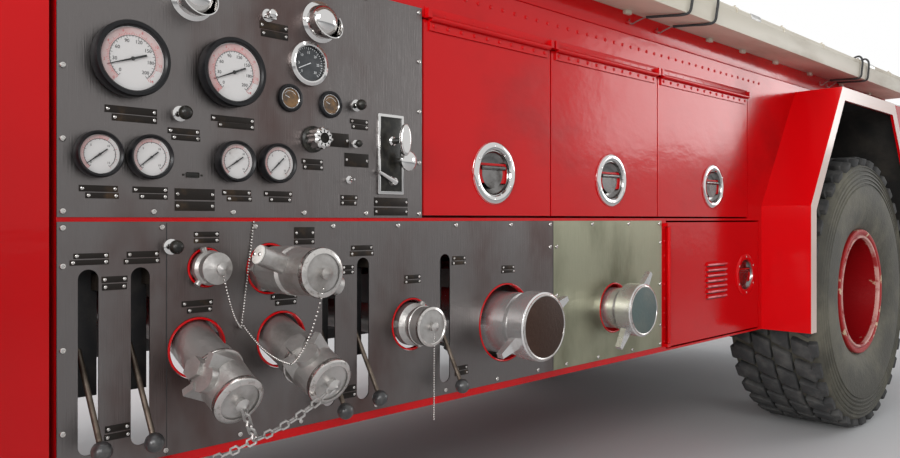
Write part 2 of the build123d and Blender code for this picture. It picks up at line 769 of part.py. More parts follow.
# Pump and its manifolds, which carry the outlets and suctions on both sides; its feet stand on the
# lower flanges of the rails
manifold_y = 620
manifold_z = (640, 790)
pump_foot_x = (360, 790)
pump_foot_half = 35
pump_foot_thickness = 25
with BuildPart() as pump:
    block((300, 850), (-330, 330), (760, 980))
    block((-640, 900), (300, manifold_y), manifold_z)
    block((-200, 900), (-manifold_y, -300), manifold_z)
    block((300, 850), (-330, 330), (manifold_z[1] - 40, manifold_z[1] + 60))
    block((650, 850), (manifold_y - 80, manifold_y), (manifold_z[0], 880))
    for x in pump_foot_x:
        foot_x = (x - pump_foot_half, x + pump_foot_half)
        flange_top_z = rail_bottom_z + rail_wall
        foot_y = rail_outer_y - 2 * rail_wall
        block(foot_x, (-foot_y, foot_y), (flange_top_z, flange_top_z + pump_foot_thickness))
save(pump, "pump")

# Discharge outlets. Each angled one is a pipe that bends down behind the panel onto the line of its cap,
# a turned body, a hexagonal plug beside a saddle with two ears, and a domed cap with a chain knob
pipe_radius = 42
bend_radius = 60
bend_y = 975
behind = manifold_y - panel_face
body_length = 118
plug_back = 78
saddle_step = 28
ear_half_gap = 31
cap_radius = 45
outlet_body = [
    (0, 0),
    (cap_radius + 1, 0),
    (cap_radius + 3, 30),
    (cap_radius, body_length - 12),
    (cap_radius, body_length),
    (10, body_length + 3),
    (13, body_length + 14),
    (0, body_length + 22),
]
cap_tips = []
with BuildPart() as discharge_outlets:
    for side, table in ((1, discharges), (-1, right_discharges)):
        for x, z, hole, reach, fall, turn in table:
            hole_centre = Vector(x, side * panel_face, z)
            tip = Vector(x, side * (panel_face + reach), z - fall)
            way = (tip - hole_centre).normalized()
            bend = hole_centre - way * ((panel_face - bend_y) / abs(way.Y))
            start = Vector(x, side * manifold_y, bend.Z)
            with BuildLine() as route:
                FilletPolyline(start, bend, tip - way * (body_length - 1), radius=bend_radius)
            with BuildSketch(Plane(origin=tuple(start), z_dir=(0, side, 0))) as section:
                Circle(pipe_radius)
            sweep(section.sketch, path=route.line)
            turned(outlet_body, tip - way * body_length, way)
            lift = Vector(1, 0, 0).cross(way) * side
            facing = Vector(1, 0, 0) * cos(radians(turn)) + lift * sin(radians(turn))
            plug_plane = Plane(origin=tuple(tip - way * plug_back), x_dir=tuple(way), z_dir=tuple(facing))
            with BuildSketch(plug_plane) as plug:
                RegularPolygon(21, 6)
            extrude(plug.sketch, amount=cap_radius + 20)
            with BuildSketch(plug_plane) as saddle:
                with Locations((saddle_step, 0)):
                    Circle(25)
            extrude(saddle.sketch, amount=cap_radius + 12)
            with BuildSketch(plug_plane) as ears:
                for way_out in (1, -1):
                    ear_spot = Location((saddle_step - 8, way_out * ear_half_gap, 0), (0, 0, way_out * 25))
                    with Locations(ear_spot):
                        Rectangle(13, 26)
            extrude(ears.sketch, amount=cap_radius + 16)
            if side == 1:
                cap_tips.append(tip + way * 14)

    # The valve outlet: a hexagonal collar, a cast body with its cap, and a round bar across it
    x, z, hole, reach = valve_outlet
    valve_section = [
        (0, behind),
        (34, behind),
        (34, 14),
        (46, 20),
        (48, reach - 90),
        (cap_radius - 2, reach - 84),
        (cap_radius + 1, reach - 78),
        (cap_radius, reach),
        (9, reach + 4),
        (12, reach + 16),
        (0, reach + 22),
    ]
    turned(valve_section, (x, panel_face, z), (0, 1, 0))
    with BuildSketch(Plane.XZ.offset(-panel_face - 16)) as collar:
        with Locations((x, z)):
            RegularPolygon(hole - 3, 6)
    extrude(collar.sketch, amount=32)
    cross_y = panel_face + reach - 72
    cross_way = Vector(cos(radians(21)), 0, sin(radians(21)))
    middle = Vector(x, cross_y, z)
    bar(tuple(middle - cross_way * 95), tuple(middle + cross_way * 95), 19)

    # The small outlet beside it and the middle one: a lugged collar and a cap with its knob
    x, z, hole, reach = small_outlet
    small_section = [
        (0, -103),
        (27, -103),
        (27, 0),
        (33, 8),
        (33, 18),
        (28, 24),
        (30, reach - 10),
        (9, reach),
        (11, reach + 10),
        (0, reach + 16),
    ]
    turned(small_section, (x, panel_face, z), (0, 1, 0))
    bar((x, panel_face - 83, z), (valve_outlet[0], panel_face - 83, z), 20)
    x, z, hole, reach = middle_outlet
    middle_section = [
        (0, behind),
        (36, behind),
        (36, -16),
        (50, -8),
        (50, 10),
        (40, 20),
        (cap_radius, 30),
        (cap_radius, reach),
        (9, reach + 2),
        (11, reach + 12),
        (0, reach + 18),
    ]
    turned(middle_section, (x, panel_face, z), (0, 1, 0))
    # Each ring of lugs: outlet, distance out, foot and tip radius, lug radius, turn of the first
    lug_rings = ((small_outlet, 13, 28, 41, 6, 70), (middle_outlet, 0, 44, 59, 9, 125))
    for (x, z, *rest), out, foot_radius, tip_radius, lug_radius, first in lug_rings:
        for turn in (first, first + 120, first + 240):
            way = Vector(cos(radians(turn)), 0, sin(radians(turn)))
            centre = Vector(x, panel_face + out, z)
            bar(tuple(centre + way * foot_radius), tuple(centre + way * tip_radius), lug_radius)

    # Retaining chain: from each angled cap to a common link, and from there to an eye under the sill
    link_wire = 3.4
    link_half_width = 7.5
    link_pitch = 17.5
    chain_joint = Vector(812, panel_face + 148, 560)
    chain_eye = Vector(930, body_side - 20, sill_z - link_half_width - 3)
    links = []
    for start, end in ((cap_tips[0], chain_joint), (cap_tips[1], chain_joint), (chain_joint, chain_eye)):
        run = end - start
        count = round(run.length / link_pitch)
        sag = run.length * 0.06
        spots = []
        for step in range(count + 1):
            share = step / count
            spots.append(start + run * share - Vector(0, 0, 4 * sag * share * (1 - share)))
        for order, (near, far) in enumerate(zip(spots, spots[1:])):
            way = far - near
            half = way.length / 2 + link_wire - 0.3
            flat = Vector(0, 0, 1).cross(way).normalized()
            if order % 2:
                flat = flat.cross(way).normalized()
            link_plane = Plane(origin=tuple((near + far) / 2), x_dir=tuple(way), z_dir=tuple(flat))
            with BuildSketch(link_plane) as ring:
                for size in (0, link_wire):
                    long = half - size
                    wide = link_half_width - size
                    straight = half - link_half_width * 0.7 - size * 0.4
                    corners = [(long, 0), (straight, wide), (-straight, wide)]
                    corners += [(-long, 0), (-straight, -wide), (straight, -wide)]
                    with BuildLine():
                        Polyline(*corners, close=True)
                    make_face(mode=Mode.SUBTRACT if size else Mode.ADD)
            links.append(extrude(ring.sketch, amount=link_wire / 2, both=True, mode=Mode.PRIVATE))
    add(links)
save(discharge_outlets, "discharge_outlets")

# Suction inlets: a neck, a groove and a broad cap with two tapered arms for turning it
arm_half_thickness = 9
arm_reach = 58
with BuildPart() as suction_inlets:
    for side, table in ((1, suctions), (-1, right_suctions)):
        for x, z, hole, reach, size, neck, turn in table:
            section = [
                (0, behind),
                (neck - 6, behind),
                (neck, -30),
                (neck, reach - 72),
                (neck - 8, reach - 68),
                (neck - 8, reach - 56),
                (size, reach - 52),
                (size, reach - 3),
                (size - 4, reach),
                (0, reach),
            ]
            turned(section, (x, side * panel_face, z), (0, side, 0))
            for way_out in (1, -1):
                along = Vector(way_out * cos(radians(turn)), 0, -way_out * sin(radians(turn)))
                origin = (x, side * (panel_face + reach - 34), z)
                with BuildSketch(Plane(origin=origin, x_dir=tuple(along), z_dir=(0, 1, 0))) as arm:
                    with BuildLine():
                        root = size - 10
                        tip = size + arm_reach
                        Polyline((root, -17), (root, 17), (tip, 7), (tip, -7), close=True)
                    make_face()
                extrude(arm.sketch, amount=arm_half_thickness, both=True)
save(suction_inlets, "suction_inlets")

# Hand levers: each swings on its own bracket behind the panel and ends in a ball
lever_radius = 5
lever_ball_radius = 17
lever_reach = 60
lever_fall = 86
lever_mid_z = 654
pivot_back = 130
lever_balls = ((1045, 0), (956, -3), (549, -19), (456, -7), (201, -19))
with BuildPart() as hand_levers:
    for x, drop in lever_balls:
        tip_z = lever_mid_z - lever_fall + drop
        way = Vector(0, lever_reach, tip_z - lever_mid_z)
        pivot = Vector(x, panel_face, lever_mid_z) - way * (pivot_back / lever_reach)
        tip = Vector(x, panel_face + lever_reach, tip_z)
        rod_length = (tip - pivot).length
        section = [
            (0, 0),
            (lever_radius, 0),
            (lever_radius, rod_length - lever_ball_radius),
            (lever_ball_radius * 0.75, rod_length - lever_ball_radius * 0.65),
            (lever_ball_radius, rod_length),
            (lever_ball_radius * 0.7, rod_length + lever_ball_radius * 0.7),
            (0, rod_length + lever_ball_radius),
        ]
        turned(section, pivot, tip - pivot)
        block((x - 24, x + 24), (pivot.Y - 14, pivot.Y + 14), (pivot.Z - 14, pivot.Z + 14))
        for cheek in ((x - 27, x - 20), (x + 20, x + 27)):
            block(cheek, (pivot.Y - 14, body_side), (pivot.Z - 14, pivot.Z + 14))
save(hand_levers, "hand_levers")

# Small controls on the gauge panel: stems with knobs, and the chrome control plate
knobs = (
    (883, 1145, 13, 24),
    (476, 1202, 12, 20),
    (900, 900, 13, 24),
    (496, 1037, 6, 12),
    (346, 1085, 17, 30),
)
plate_x = (338, 416)
plate_z = (1007, 1192)
lights = ((859, 1364), (573, 1369))
with BuildPart() as panel_controls:
    for x, z, radius, stand in knobs:
        knob((x, panel_face, z), (0, 1, 0), stand, radius)
    throttle = [(0, 0), (26, 0), (26, 6), (19, 8), (19, 30), (13, 36), (0, 36)]
    turned(throttle, (590, panel_face, 1119), (0, 1, 0))
    bar((699, panel_face, 1360), (699, panel_face + 22, 1360), 9)
    block(plate_x, (panel_face, panel_face + 5), plate_z)
    bar((373, panel_face + 1, 1130), (373, panel_face + 46, 1130), 9)
    with Locations(Location((373, panel_face + 50, 1130), (90, 0, 0))):
        Cylinder(24, 14)
    for x, z in lights:
        dome = [(0, 0), (44, 0), (44, 4), (34, 8), (30, 26), (14, 38), (0, 40)]
        turned(dome, (x, panel_face, z), (0, 1, 0))
        with BuildSketch(Plane.XZ.offset(-panel_face - 4)) as hood:
            with Locations((x, z)):
                Circle(40)
                Circle(36, mode=Mode.SUBTRACT)
                with Locations((0, -26)):
                    Rectangle(90, 60, mode=Mode.SUBTRACT)
        extrude(hood.sketch, amount=-42)
save(panel_controls, "panel_controls")

# Cab shell: hollow, open at windows, doors, wheel arches and under the floor
cab_outline = [
    (cab_rear_x, sill_z),
    (cab_rear_x, cab_roof_z),
    (roof_front_x, cab_roof_z),
    (windscreen_head_x, windscreen_head_z),
    (cab_front_x, windscreen_foot_z),
    (cab_front_x, 620),
    (cab_front_x - 60, sill_z),
]
cab_hollow = [
    (cab_rear_x + cab_wall, rear_floor_z),
    (foot_well_x, rear_floor_z),
    (foot_well_x, foot_floor_z),
    (cab_front_x - cab_wall, foot_floor_z),
    (cab_front_x - cab_wall, windscreen_foot_z - 6),
    (windscreen_head_x - 35, windscreen_head_z - 25),
    (roof_front_x - 15, cab_roof_z - cab_wall),
    (cab_rear_x + cab_wall, cab_roof_z - cab_wall),
]
inner_side = body_side - cab_wall
cab_door_rear_x = cab_front_x - 650
cab_door_front_x = cab_front_x - 48
cab_door_bottom_z = 620
cab_door_head_z = 2380
cab_door_bend_z = 1470
cab_door_head_x = cab_front_x - 295
door_outline = [
    (cab_door_rear_x, cab_door_bottom_z),
    (cab_door_front_x, cab_door_bottom_z),
    (cab_door_front_x, cab_door_bend_z),
    (cab_door_head_x, cab_door_head_z),
    (cab_door_rear_x, cab_door_head_z),
]
opening_outline = [
    (cab_door_rear_x - running_gap, cab_door_bottom_z - running_gap),
    (cab_door_front_x + running_gap, cab_door_bottom_z - running_gap),
    (cab_door_front_x + running_gap, cab_door_bend_z),
    (cab_door_head_x + running_gap, cab_door_head_z + running_gap),
    (cab_door_rear_x - running_gap, cab_door_head_z + running_gap),
]
window_rear_x = cab_door_rear_x + 60
door_window = [
    (window_rear_x, 1640),
    (cab_door_front_x - 102, 1640),
    (cab_door_head_x - 31, 2290),
    (window_rear_x, 2290),
]
side_windows = ((1950, 2850), (1260, 1860))
side_window_z = (1700, 2290)
screen_width = 900
screen_height = 700
screen_centre_y = 510
screen_way = Vector(windscreen_head_x - cab_front_x, 0, windscreen_head_z - windscreen_foot_z).normalized()
screen_normal = Vector(screen_way.Z, 0, -screen_way.X)
screen_middle = Vector(
    (cab_front_x + windscreen_head_x) / 2, 0, (windscreen_foot_z + windscreen_head_z) / 2 + 20
)
screen_plane = Plane(origin=tuple(screen_middle), x_dir=(0, 1, 0), z_dir=tuple(screen_normal))
cab_hinge_x = cab_door_front_x + hinge_offset
cab_hinges = ((760, 840), (1330, 1410))
cab_corner_radius = 25
grab_rail_x = cab_door_rear_x - 68
grab_rail_z = (1150, 1650)
grab_rail_stand = 55
under_floor_z = foot_floor_z - cab_wall
with BuildPart() as cab_shell:
    slab(cab_outline, (-body_side, body_side))
    corners = cab_shell.edges().filter_by(lambda edge: abs(edge.center().Y) > body_side - 1)
    corners = corners.filter_by(lambda edge: edge.center().X > cab_rear_x + 1)
    corners = corners.filter_by(lambda edge: edge.center().Z > sill_z + 100)
    fillet(corners, radius=cab_corner_radius)
    slab(cab_hollow, (-inner_side, inner_side), mode=Mode.SUBTRACT)
    for side in (1, -1):
        slab(arch_outline(*front_arch, flare_wall), side_y(side, 400, body_side + 1), mode=Mode.SUBTRACT)
        slab(opening_outline, side_y(side, inner_side - 1, body_side + 1), mode=Mode.SUBTRACT)
        for window in side_windows:
            block(window, side_y(side, inner_side - 1, body_side + 1), side_window_z, mode=Mode.SUBTRACT)
    inner_y = (-inner_side, inner_side)
    under_floor = (sill_z - 1, under_floor_z)
    block((cab_rear_x + cab_wall, 1370), inner_y, (sill_z - 1, 1400), mode=Mode.SUBTRACT)
    block((foot_well_x - 20, cab_front_x - cab_wall), inner_y, under_floor, mode=Mode.SUBTRACT)
    block((cab_rear_x - 1, rail_front_x + 30), (-470, 470), under_floor, mode=Mode.SUBTRACT)
    rail_tunnel = (cab_rear_x + cab_wall, foot_well_x - 20)
    block(rail_tunnel, (-401, 401), (sill_z - 1, rear_floor_z - cab_wall), mode=Mode.SUBTRACT)
    with BuildSketch(screen_plane):
        with Locations((screen_centre_y, 0), (-screen_centre_y, 0)):
            Rectangle(screen_width, screen_height)
    extrude(amount=80, both=True, mode=Mode.SUBTRACT)
    for side in (1, -1):
        block((foot_well_x - 21, cab_front_x - cab_wall + 1), side_y(side, 800, inner_side), (740, 770))
        cab_lug_y = side_y(side, body_side - 12, hinge_y + hinge_radius)
        for low, high in cab_hinges:
            for foot in (low - hinge_lug - seat_gap, high + seat_gap):
                block((cab_hinge_x, cab_hinge_x + 30), cab_lug_y, (foot, foot + hinge_lug))
        rail_y = side * (body_side + grab_rail_stand)
        bar((grab_rail_x, rail_y, grab_rail_z[0]), (grab_rail_x, rail_y, grab_rail_z[1]), 13)
        for z in (grab_rail_z[0] + 25, grab_rail_z[1] - 25):
            bar((grab_rail_x, side * (body_side - 5), z), (grab_rail_x, rail_y, z), 11)
save(cab_shell, "cab_shell")

# Fixed glass: two windscreen panes and four side panes
with BuildPart() as cab_glass:
    with BuildSketch(screen_plane.offset(-20)):
        with Locations((screen_centre_y, 0), (-screen_centre_y, 0)):
            Rectangle(screen_width - 2 * glass_gap, screen_height - 2 * glass_gap)
    extrude(amount=glass_thickness)
    for side in (1, -1):
        for low, high in side_windows:
            block(
                (low + glass_gap, high - glass_gap),
                side_y(side, body_side - 20, body_side - 20 + glass_thickness),
                (side_window_z[0] + glass_gap, side_window_z[1] - glass_gap),
            )
save(cab_glass, "cab_glass")

# Cab doors, each with its window, and the glass in them
handle_x = (cab_door_rear_x + 50, cab_door_rear_x + 170)
handle_z = 1480
for side, word in ((1, "left"), (-1, "right")):
    with BuildPart() as cab_door:
        slab(door_outline, side_y(side, inner_side, body_side))
        slab(door_window, side_y(side, inner_side - 1, body_side + 1), mode=Mode.SUBTRACT)
        for low, high in cab_hinges:
            block((cab_hinge_x - 50, cab_hinge_x), side_y(side, body_side - 1, body_side + 5), (low, high))
            bar((cab_hinge_x, side * hinge_y, low), (cab_hinge_x, side * hinge_y, high), hinge_radius)
        block(handle_x, side_y(side, body_side + 25, body_side + 40), (handle_z - 12, handle_z + 12))
        for x in handle_x:
            post = (x, x + 15) if x == handle_x[0] else (x - 15, x)
            block(post, side_y(side, body_side - 1, body_side + 30), (handle_z - 12, handle_z + 12))
    save(cab_door, f"cab_door_{word}")
    with BuildPart() as door_glass:
        slab(
            [
                (door_window[0][0] + glass_gap, door_window[0][1] + glass_gap),
                (door_window[1][0] - 2 * glass_gap, door_window[1][1] + glass_gap),
                (door_window[2][0] - 2 * glass_gap, door_window[2][1] - glass_gap),
                (door_window[3][0] + glass_gap, door_window[3][1] - glass_gap),
            ],
            side_y(side, body_side - 20, body_side - 20 + glass_thickness),
        )
    save(door_glass, f"door_glass_{word}")

# Cab furniture: seats, dashboard with the steering column, steering wheel
seat_centres_y = (550, -550)
seat_half_width = 240
seat_rear_x = cab_front_x - 1080
seat_front_x = seat_rear_x + 580
seat_back_thickness = 110
cushion_top_z = 1570
back_top_z = 2200
with BuildPart() as cab_seats:
    for y in seat_centres_y:
        cushion_y = (y - seat_half_width, y + seat_half_width)
        block((seat_rear_x, seat_front_x), cushion_y, (rear_floor_z + seat_gap, cushion_top_z))
        back_x = (seat_rear_x, seat_rear_x + seat_back_thickness)
        block(back_x, cushion_y, (rear_floor_z + seat_gap, back_top_z))
    fillet(cab_seats.edges().filter_by(Axis.Y).group_by(Axis.Z)[-1], radius=25)
save(cab_seats, "cab_seats")
steering_hub = Vector(cab_front_x - 400, 550, 1790)
steering_wheel_radius = 220
steering_rim_radius = 14
steering_hub_radius = 40
steering_hub_depth = 30
column_radius = 32
column_rake = 19.2
column_way = Vector(-sin(radians(column_rake)), 0, cos(radians(column_rake)))
column_foot = steering_hub - column_way * ((steering_hub.Z - foot_floor_z) / column_way.Z + column_radius)
dash_front_x = cab_front_x - cab_wall
dash_rear_x = dash_front_x - 120
dash_outline = [
    (dash_rear_x, 1250),
    (dash_front_x, 1250),
    (dash_front_x, 1460),
    (dash_front_x - 55, 1655),
    (dash_rear_x, 1640),
]
with BuildPart() as dashboard:
    column_head = steering_hub - column_way * (steering_hub_depth + seat_gap)
    bar(tuple(column_foot), tuple(column_head), column_radius)
    foot_box = ((column_foot.X - 100, column_foot.X + 100), (400, 700), (foot_floor_z - 100, foot_floor_z))
    block(*foot_box, mode=Mode.SUBTRACT)
    slab(dash_outline, (-900, 900))
save(dashboard, "dashboard")
with BuildPart() as steering_wheel:
    wheel_plane = Plane(origin=tuple(steering_hub), z_dir=tuple(column_way))
    rim_point = steering_hub + wheel_plane.x_dir * steering_wheel_radius
    with BuildSketch(Plane(origin=rim_point, x_dir=wheel_plane.x_dir, z_dir=wheel_plane.y_dir)):
        RegularPolygon(steering_rim_radius, 8)
    revolve(axis=Axis(tuple(steering_hub), tuple(column_way)))
    hub_ends = [tuple(steering_hub + column_way * offset) for offset in (-steering_hub_depth, 14)]
    bar(*hub_ends, steering_hub_radius)
    for turn in (90, 210, 330):
        spoke = wheel_plane.x_dir * cos(radians(turn)) + wheel_plane.y_dir * sin(radians(turn))
        spoke_end = steering_hub + spoke * (steering_wheel_radius - 4)
        bar(tuple(steering_hub + spoke * (steering_hub_radius - 10)), tuple(spoke_end), 9)
save(steering_wheel, "steering_wheel")

# Mirrors on arms at the cab's front corners
mirror_y = (1130, 1330)
mirror_x = (cab_front_x + 50, cab_front_x + 80)
mirror_z = (1600, 2020)
with BuildPart() as mirrors:
    for side in (1, -1):
        block(mirror_x, side_y(side, *mirror_y), mirror_z)
        top = (mirror_x[0] + 15, side * (mirror_y[0] + 100), mirror_z[0] + 2)
        bend = (mirror_x[0] + 15, side * (mirror_y[0] + 100), 1380)
        root = (cab_front_x, side * 980, 1380)
        bar(bend, top, 14)
        with BuildSketch(Plane.YZ.offset(mirror_x[0] + 15)):
            with Locations((side * (980 + mirror_y[0] + 100) / 2, 1380)):
                Rectangle(mirror_y[0] + 100 - 980 + 28, 24)
        extrude(amount=12, both=True)
        block((cab_front_x, mirror_x[0] + 27), (side * 980 - 20, side * 980 + 20), (1360, 1400))
save(mirrors, "mirrors")

# Roof monitor: fixed base, head that turns on it, barrel that tilts between its cheeks
monitor_x = 2450
base_top_z = cab_roof_z + 60
cheek_inner = 60
cheek_outer = 82
barrel_z = base_top_z + 170
trunnion_radius = 15
trunnion_fit = 0.05
barrel_radius = 38
with BuildPart() as monitor_base:
    bar((monitor_x, 0, cab_roof_z), (monitor_x, 0, base_top_z), 120)
save(monitor_base, "monitor_base")
with BuildPart() as monitor_head:
    bar((monitor_x, 0, base_top_z + seat_gap), (monitor_x, 0, base_top_z + 70), 100)
    for side in (1, -1):
        cheek_y = side_y(side, cheek_inner, cheek_outer)
        block((monitor_x - 45, monitor_x + 45), cheek_y, (base_top_z + 60, barrel_z + 45))
    bore_ends = [(monitor_x, y, barrel_z) for y in (-cheek_outer - 1, cheek_outer + 1)]
    bar(*bore_ends, trunnion_radius + trunnion_fit, mode=Mode.SUBTRACT)
save(monitor_head, "monitor_head")
with BuildPart() as monitor_barrel:
    barrel = [
        (0, 0),
        (barrel_radius + 8, 0),
        (barrel_radius + 8, 120),
        (barrel_radius, 150),
        (barrel_radius - 8, 560),
        (50, 600),
        (54, 690),
        (40, 710),
        (40, 620),
        (0, 620),
    ]
    turned(barrel, (monitor_x - 70, 0, barrel_z), (1, 0, 0))
    bar((monitor_x, -cheek_outer, barrel_z), (monitor_x, cheek_outer, barrel_z), trunnion_radius)
save(monitor_barrel, "monitor_barrel")

# Ladder tray along the left deck edge, ladder lying in it and over the deck, and the pole on top
tray_x = (-3200, 750)
tray_y = (body_side, 1181)
tray_z = (1615, 1682)
tray_sheet = 4
tray_lip = 10
tray_foot_z = deck_z - 60
floor_top_z = tray_z[0] + tray_sheet
tray_section = [
    (tray_y[0], tray_foot_z),
    (tray_y[0] + tray_sheet, tray_foot_z),
    (tray_y[0] + tray_sheet, tray_z[0]),
    (tray_y[1], tray_z[0]),
    (tray_y[1], tray_z[1]),
    (tray_y[1] - tray_lip, tray_z[1]),
    (tray_y[1] - tray_lip, tray_z[1] - tray_sheet),
    (tray_y[1] - tray_sheet, tray_z[1] - tray_sheet),
    (tray_y[1] - tray_sheet, floor_top_z),
    (tray_y[0], floor_top_z),
]
# Gussets under the tray: a tapered plate at each rung of its fixing to the deck edge
gusset_x = [tray_x[0] + 120 + 735 * step for step in range(6)]
gusset_half = 3
with BuildPart() as ladder_tray:
    with BuildSketch(Plane.YZ.offset(tray_x[0])) as tray_profile:
        with BuildLine():
            Polyline(*tray_section, close=True)
        make_face()
    extrude(tray_profile.sketch, amount=tray_x[1] - tray_x[0])
    for x in gusset_x:
        with BuildSketch(Plane.YZ.offset(x - gusset_half)) as gusset:
            with BuildLine():
                root_y = tray_y[0] + 1
                top_z = tray_z[0] + 1
                Polyline((root_y, tray_foot_z), (tray_y[1] - 20, top_z), (root_y, top_z), close=True)
            make_face()
        extrude(gusset.sketch, amount=2 * gusset_half)
save(ladder_tray, "ladder_tray")
stile_height = 58
stile_width = 30
ladder_y = (760, 1160)
ladder_x = (-3100, 700)
rung_count = 13
rung_radius = 15
with BuildPart() as ladder:
    stile_z = (tray_z[0] + tray_sheet, tray_z[0] + tray_sheet + stile_height)
    block(ladder_x, (ladder_y[1] - stile_width, ladder_y[1]), stile_z)
    block(ladder_x, (ladder_y[0], ladder_y[0] + stile_width), stile_z)
    for step in range(rung_count):
        x = ladder_x[0] + 100 + step * (ladder_x[1] - ladder_x[0] - 200) / (rung_count - 1)
        z = sum(stile_z) / 2
        bar((x, ladder_y[0] + 5, z), (x, ladder_y[1] - 5, z), rung_radius)
save(ladder, "ladder")
pole_radius = 18
with BuildPart() as pole:
    pole_z = tray_z[0] + tray_sheet + stile_height + pole_radius
    bar((-3150, 1150, pole_z), (740, 1150, pole_z), pole_radius)
save(pole, "pike_pole")

# Engine housing over the rear, with the rear wall and its grille
housing_top_z = 1880
housing_wall = 30
housing_foot_z = deck_z
grille_half_width = 600
grille_z = (950, 1500)
rear_wall_x = (body_rear_x, body_rear_x + housing_wall)
with BuildPart() as engine_housing:
    slab(
        [
            (housing_front_x, housing_foot_z),
            (housing_front_x, housing_top_z - 90),
            (housing_front_x - 100, housing_top_z),
            (body_rear_x + 100, housing_top_z),
            (body_rear_x, housing_top_z - 100),
            (body_rear_x, housing_foot_z),
        ],
        (-housing_half_width, housing_half_width),
    )
    slab(
        [
            (housing_front_x - housing_wall, housing_foot_z - 1),
            (housing_front_x - housing_wall, housing_top_z - 100),
            (housing_front_x - 112, housing_top_z - housing_wall),
            (body_rear_x + 112, housing_top_z - housing_wall),
            (body_rear_x + housing_wall, housing_top_z - 112),
            (body_rear_x + housing_wall, housing_foot_z - 1),
        ],
        (housing_wall - housing_half_width, housing_half_width - housing_wall),
        mode=Mode.SUBTRACT,
    )
    rear_side_y = body_side - rear_side_wall
    block(rear_wall_x, (-rear_side_y, rear_side_y), (side_rear_foot_z, deck_z - locker_wall))
    block(rear_wall_x, (-locker_inner_y, locker_inner_y), (deck_z - locker_wall - 1, housing_foot_z + 1))
    grille_hole_x = (body_rear_x - 1, rear_wall_x[1] + 1)
    block(grille_hole_x, (-grille_half_width, grille_half_width), grille_z, mode=Mode.SUBTRACT)
save(engine_housing, "engine_housing")
slat_count = 11
grille_frame = 30
slat_tilt = 15
slat_thickness = 6
with BuildPart() as rear_grille:
    block(rear_wall_x, (-grille_half_width, grille_half_width), grille_z)
    slat_y = grille_half_width - grille_frame
    slat_z = (grille_z[0] + grille_frame, grille_z[1] - grille_frame)
    block(grille_hole_x, (-slat_y, slat_y), slat_z, mode=Mode.SUBTRACT)
    pitch = (slat_z[1] - slat_z[0]) / slat_count
    for step in range(slat_count):
        z = slat_z[0] + (step + 0.5) * pitch
        slab(
            [
                (rear_wall_x[0], z - slat_tilt),
                (rear_wall_x[0], z - slat_tilt + slat_thickness),
                (rear_wall_x[1], z + slat_tilt),
                (rear_wall_x[1], z + slat_tilt - slat_thickness),
            ],
            (-slat_y - 5, slat_y + 5),
        )
save(rear_grille, "rear_grille")

# Bumpers: the front one across the cab, the rear one on brackets from the frame, tow eyes under both
front_bumper_z = (630, 840)
rear_bumper_z = (560, 690)
rear_bumper_half_width = 900
rear_bumper_x = (-half_length, rear_bumper_depth - half_length)
tow_eye_y = 300
tow_eye_thickness = 30
tow_eye_radius = 36
tow_hole_radius = 18
tow_eye_drop = 38
# Each pair of tow eyes: x, height of the bumper edge that it hangs from
tow_eyes = ((half_length - 50, front_bumper_z[0]), (37 - half_length, rear_bumper_z[0]))
with BuildPart() as bumpers:
    block((cab_front_x, half_length), (-body_side, body_side), front_bumper_z)
    chamfer(bumpers.edges().filter_by(Axis.Z).group_by(Axis.X)[-1], length=70)
    block(rear_bumper_x, (-rear_bumper_half_width, rear_bumper_half_width), rear_bumper_z)
    for side in (1, -1):
        bracket_y = side_y(side, rail_inner_y + 5, rail_outer_y - 5)
        block((rear_bumper_x[1] - 1, rail_rear_x + 80), bracket_y, (640, rear_bumper_z[1]))
        block((rail_rear_x, rail_rear_x + 80), bracket_y, (640, rail_bottom_z))
        for x, edge_z in tow_eyes:
            eye_y = (side * tow_eye_y - tow_eye_thickness / 2, side * tow_eye_y + tow_eye_thickness / 2)
            eye_z = edge_z - tow_eye_drop
            bar((x, eye_y[0], eye_z), (x, eye_y[1], eye_z), tow_eye_radius)
            block((x - tow_eye_radius, x + tow_eye_radius), eye_y, (eye_z, edge_z + 1))
            bar((x, eye_y[0] - 1, eye_z), (x, eye_y[1] + 1, eye_z), tow_hole_radius, mode=Mode.SUBTRACT)
save(bumpers, "bumpers")

# Lamps: head lamps, tail lamps and the two roof beacons
with BuildPart() as lamps:
    for side in (1, -1):
        for y in (830, 620):
            bar((cab_front_x, side * y, 1000), (cab_front_x + 40, side * y, 1000), 88)
        for z in (1000, 1150):
            bar((body_rear_x, side * 850, z), (body_rear_x - 25, side * 850, z), 55)
        beacon_x = roof_front_x - 200
        beacon = [(0, 0), (75, 0), (75, 24), (60, 30), (54, 120), (30, 138), (0, 140)]
        turned(beacon, (beacon_x, side * 700, cab_roof_z), (0, 0, 1))
save(lamps, "lamps")
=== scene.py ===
import math

import bmesh
import bpy
from mathutils import Matrix, Vector


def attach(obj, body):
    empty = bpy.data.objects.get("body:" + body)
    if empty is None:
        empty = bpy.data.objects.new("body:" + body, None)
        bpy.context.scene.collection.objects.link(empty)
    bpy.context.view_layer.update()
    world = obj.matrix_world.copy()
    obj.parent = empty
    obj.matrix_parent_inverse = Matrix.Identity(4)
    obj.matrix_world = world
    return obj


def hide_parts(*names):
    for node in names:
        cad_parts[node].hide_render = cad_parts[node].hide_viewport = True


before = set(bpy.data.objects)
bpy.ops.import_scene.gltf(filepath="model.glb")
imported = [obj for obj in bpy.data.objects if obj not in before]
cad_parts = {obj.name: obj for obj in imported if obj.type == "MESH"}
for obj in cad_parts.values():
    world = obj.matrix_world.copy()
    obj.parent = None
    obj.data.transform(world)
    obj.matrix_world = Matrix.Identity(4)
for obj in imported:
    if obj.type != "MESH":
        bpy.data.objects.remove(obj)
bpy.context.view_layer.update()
scene = bpy.context.scene
scene.view_settings.view_transform = "Standard"

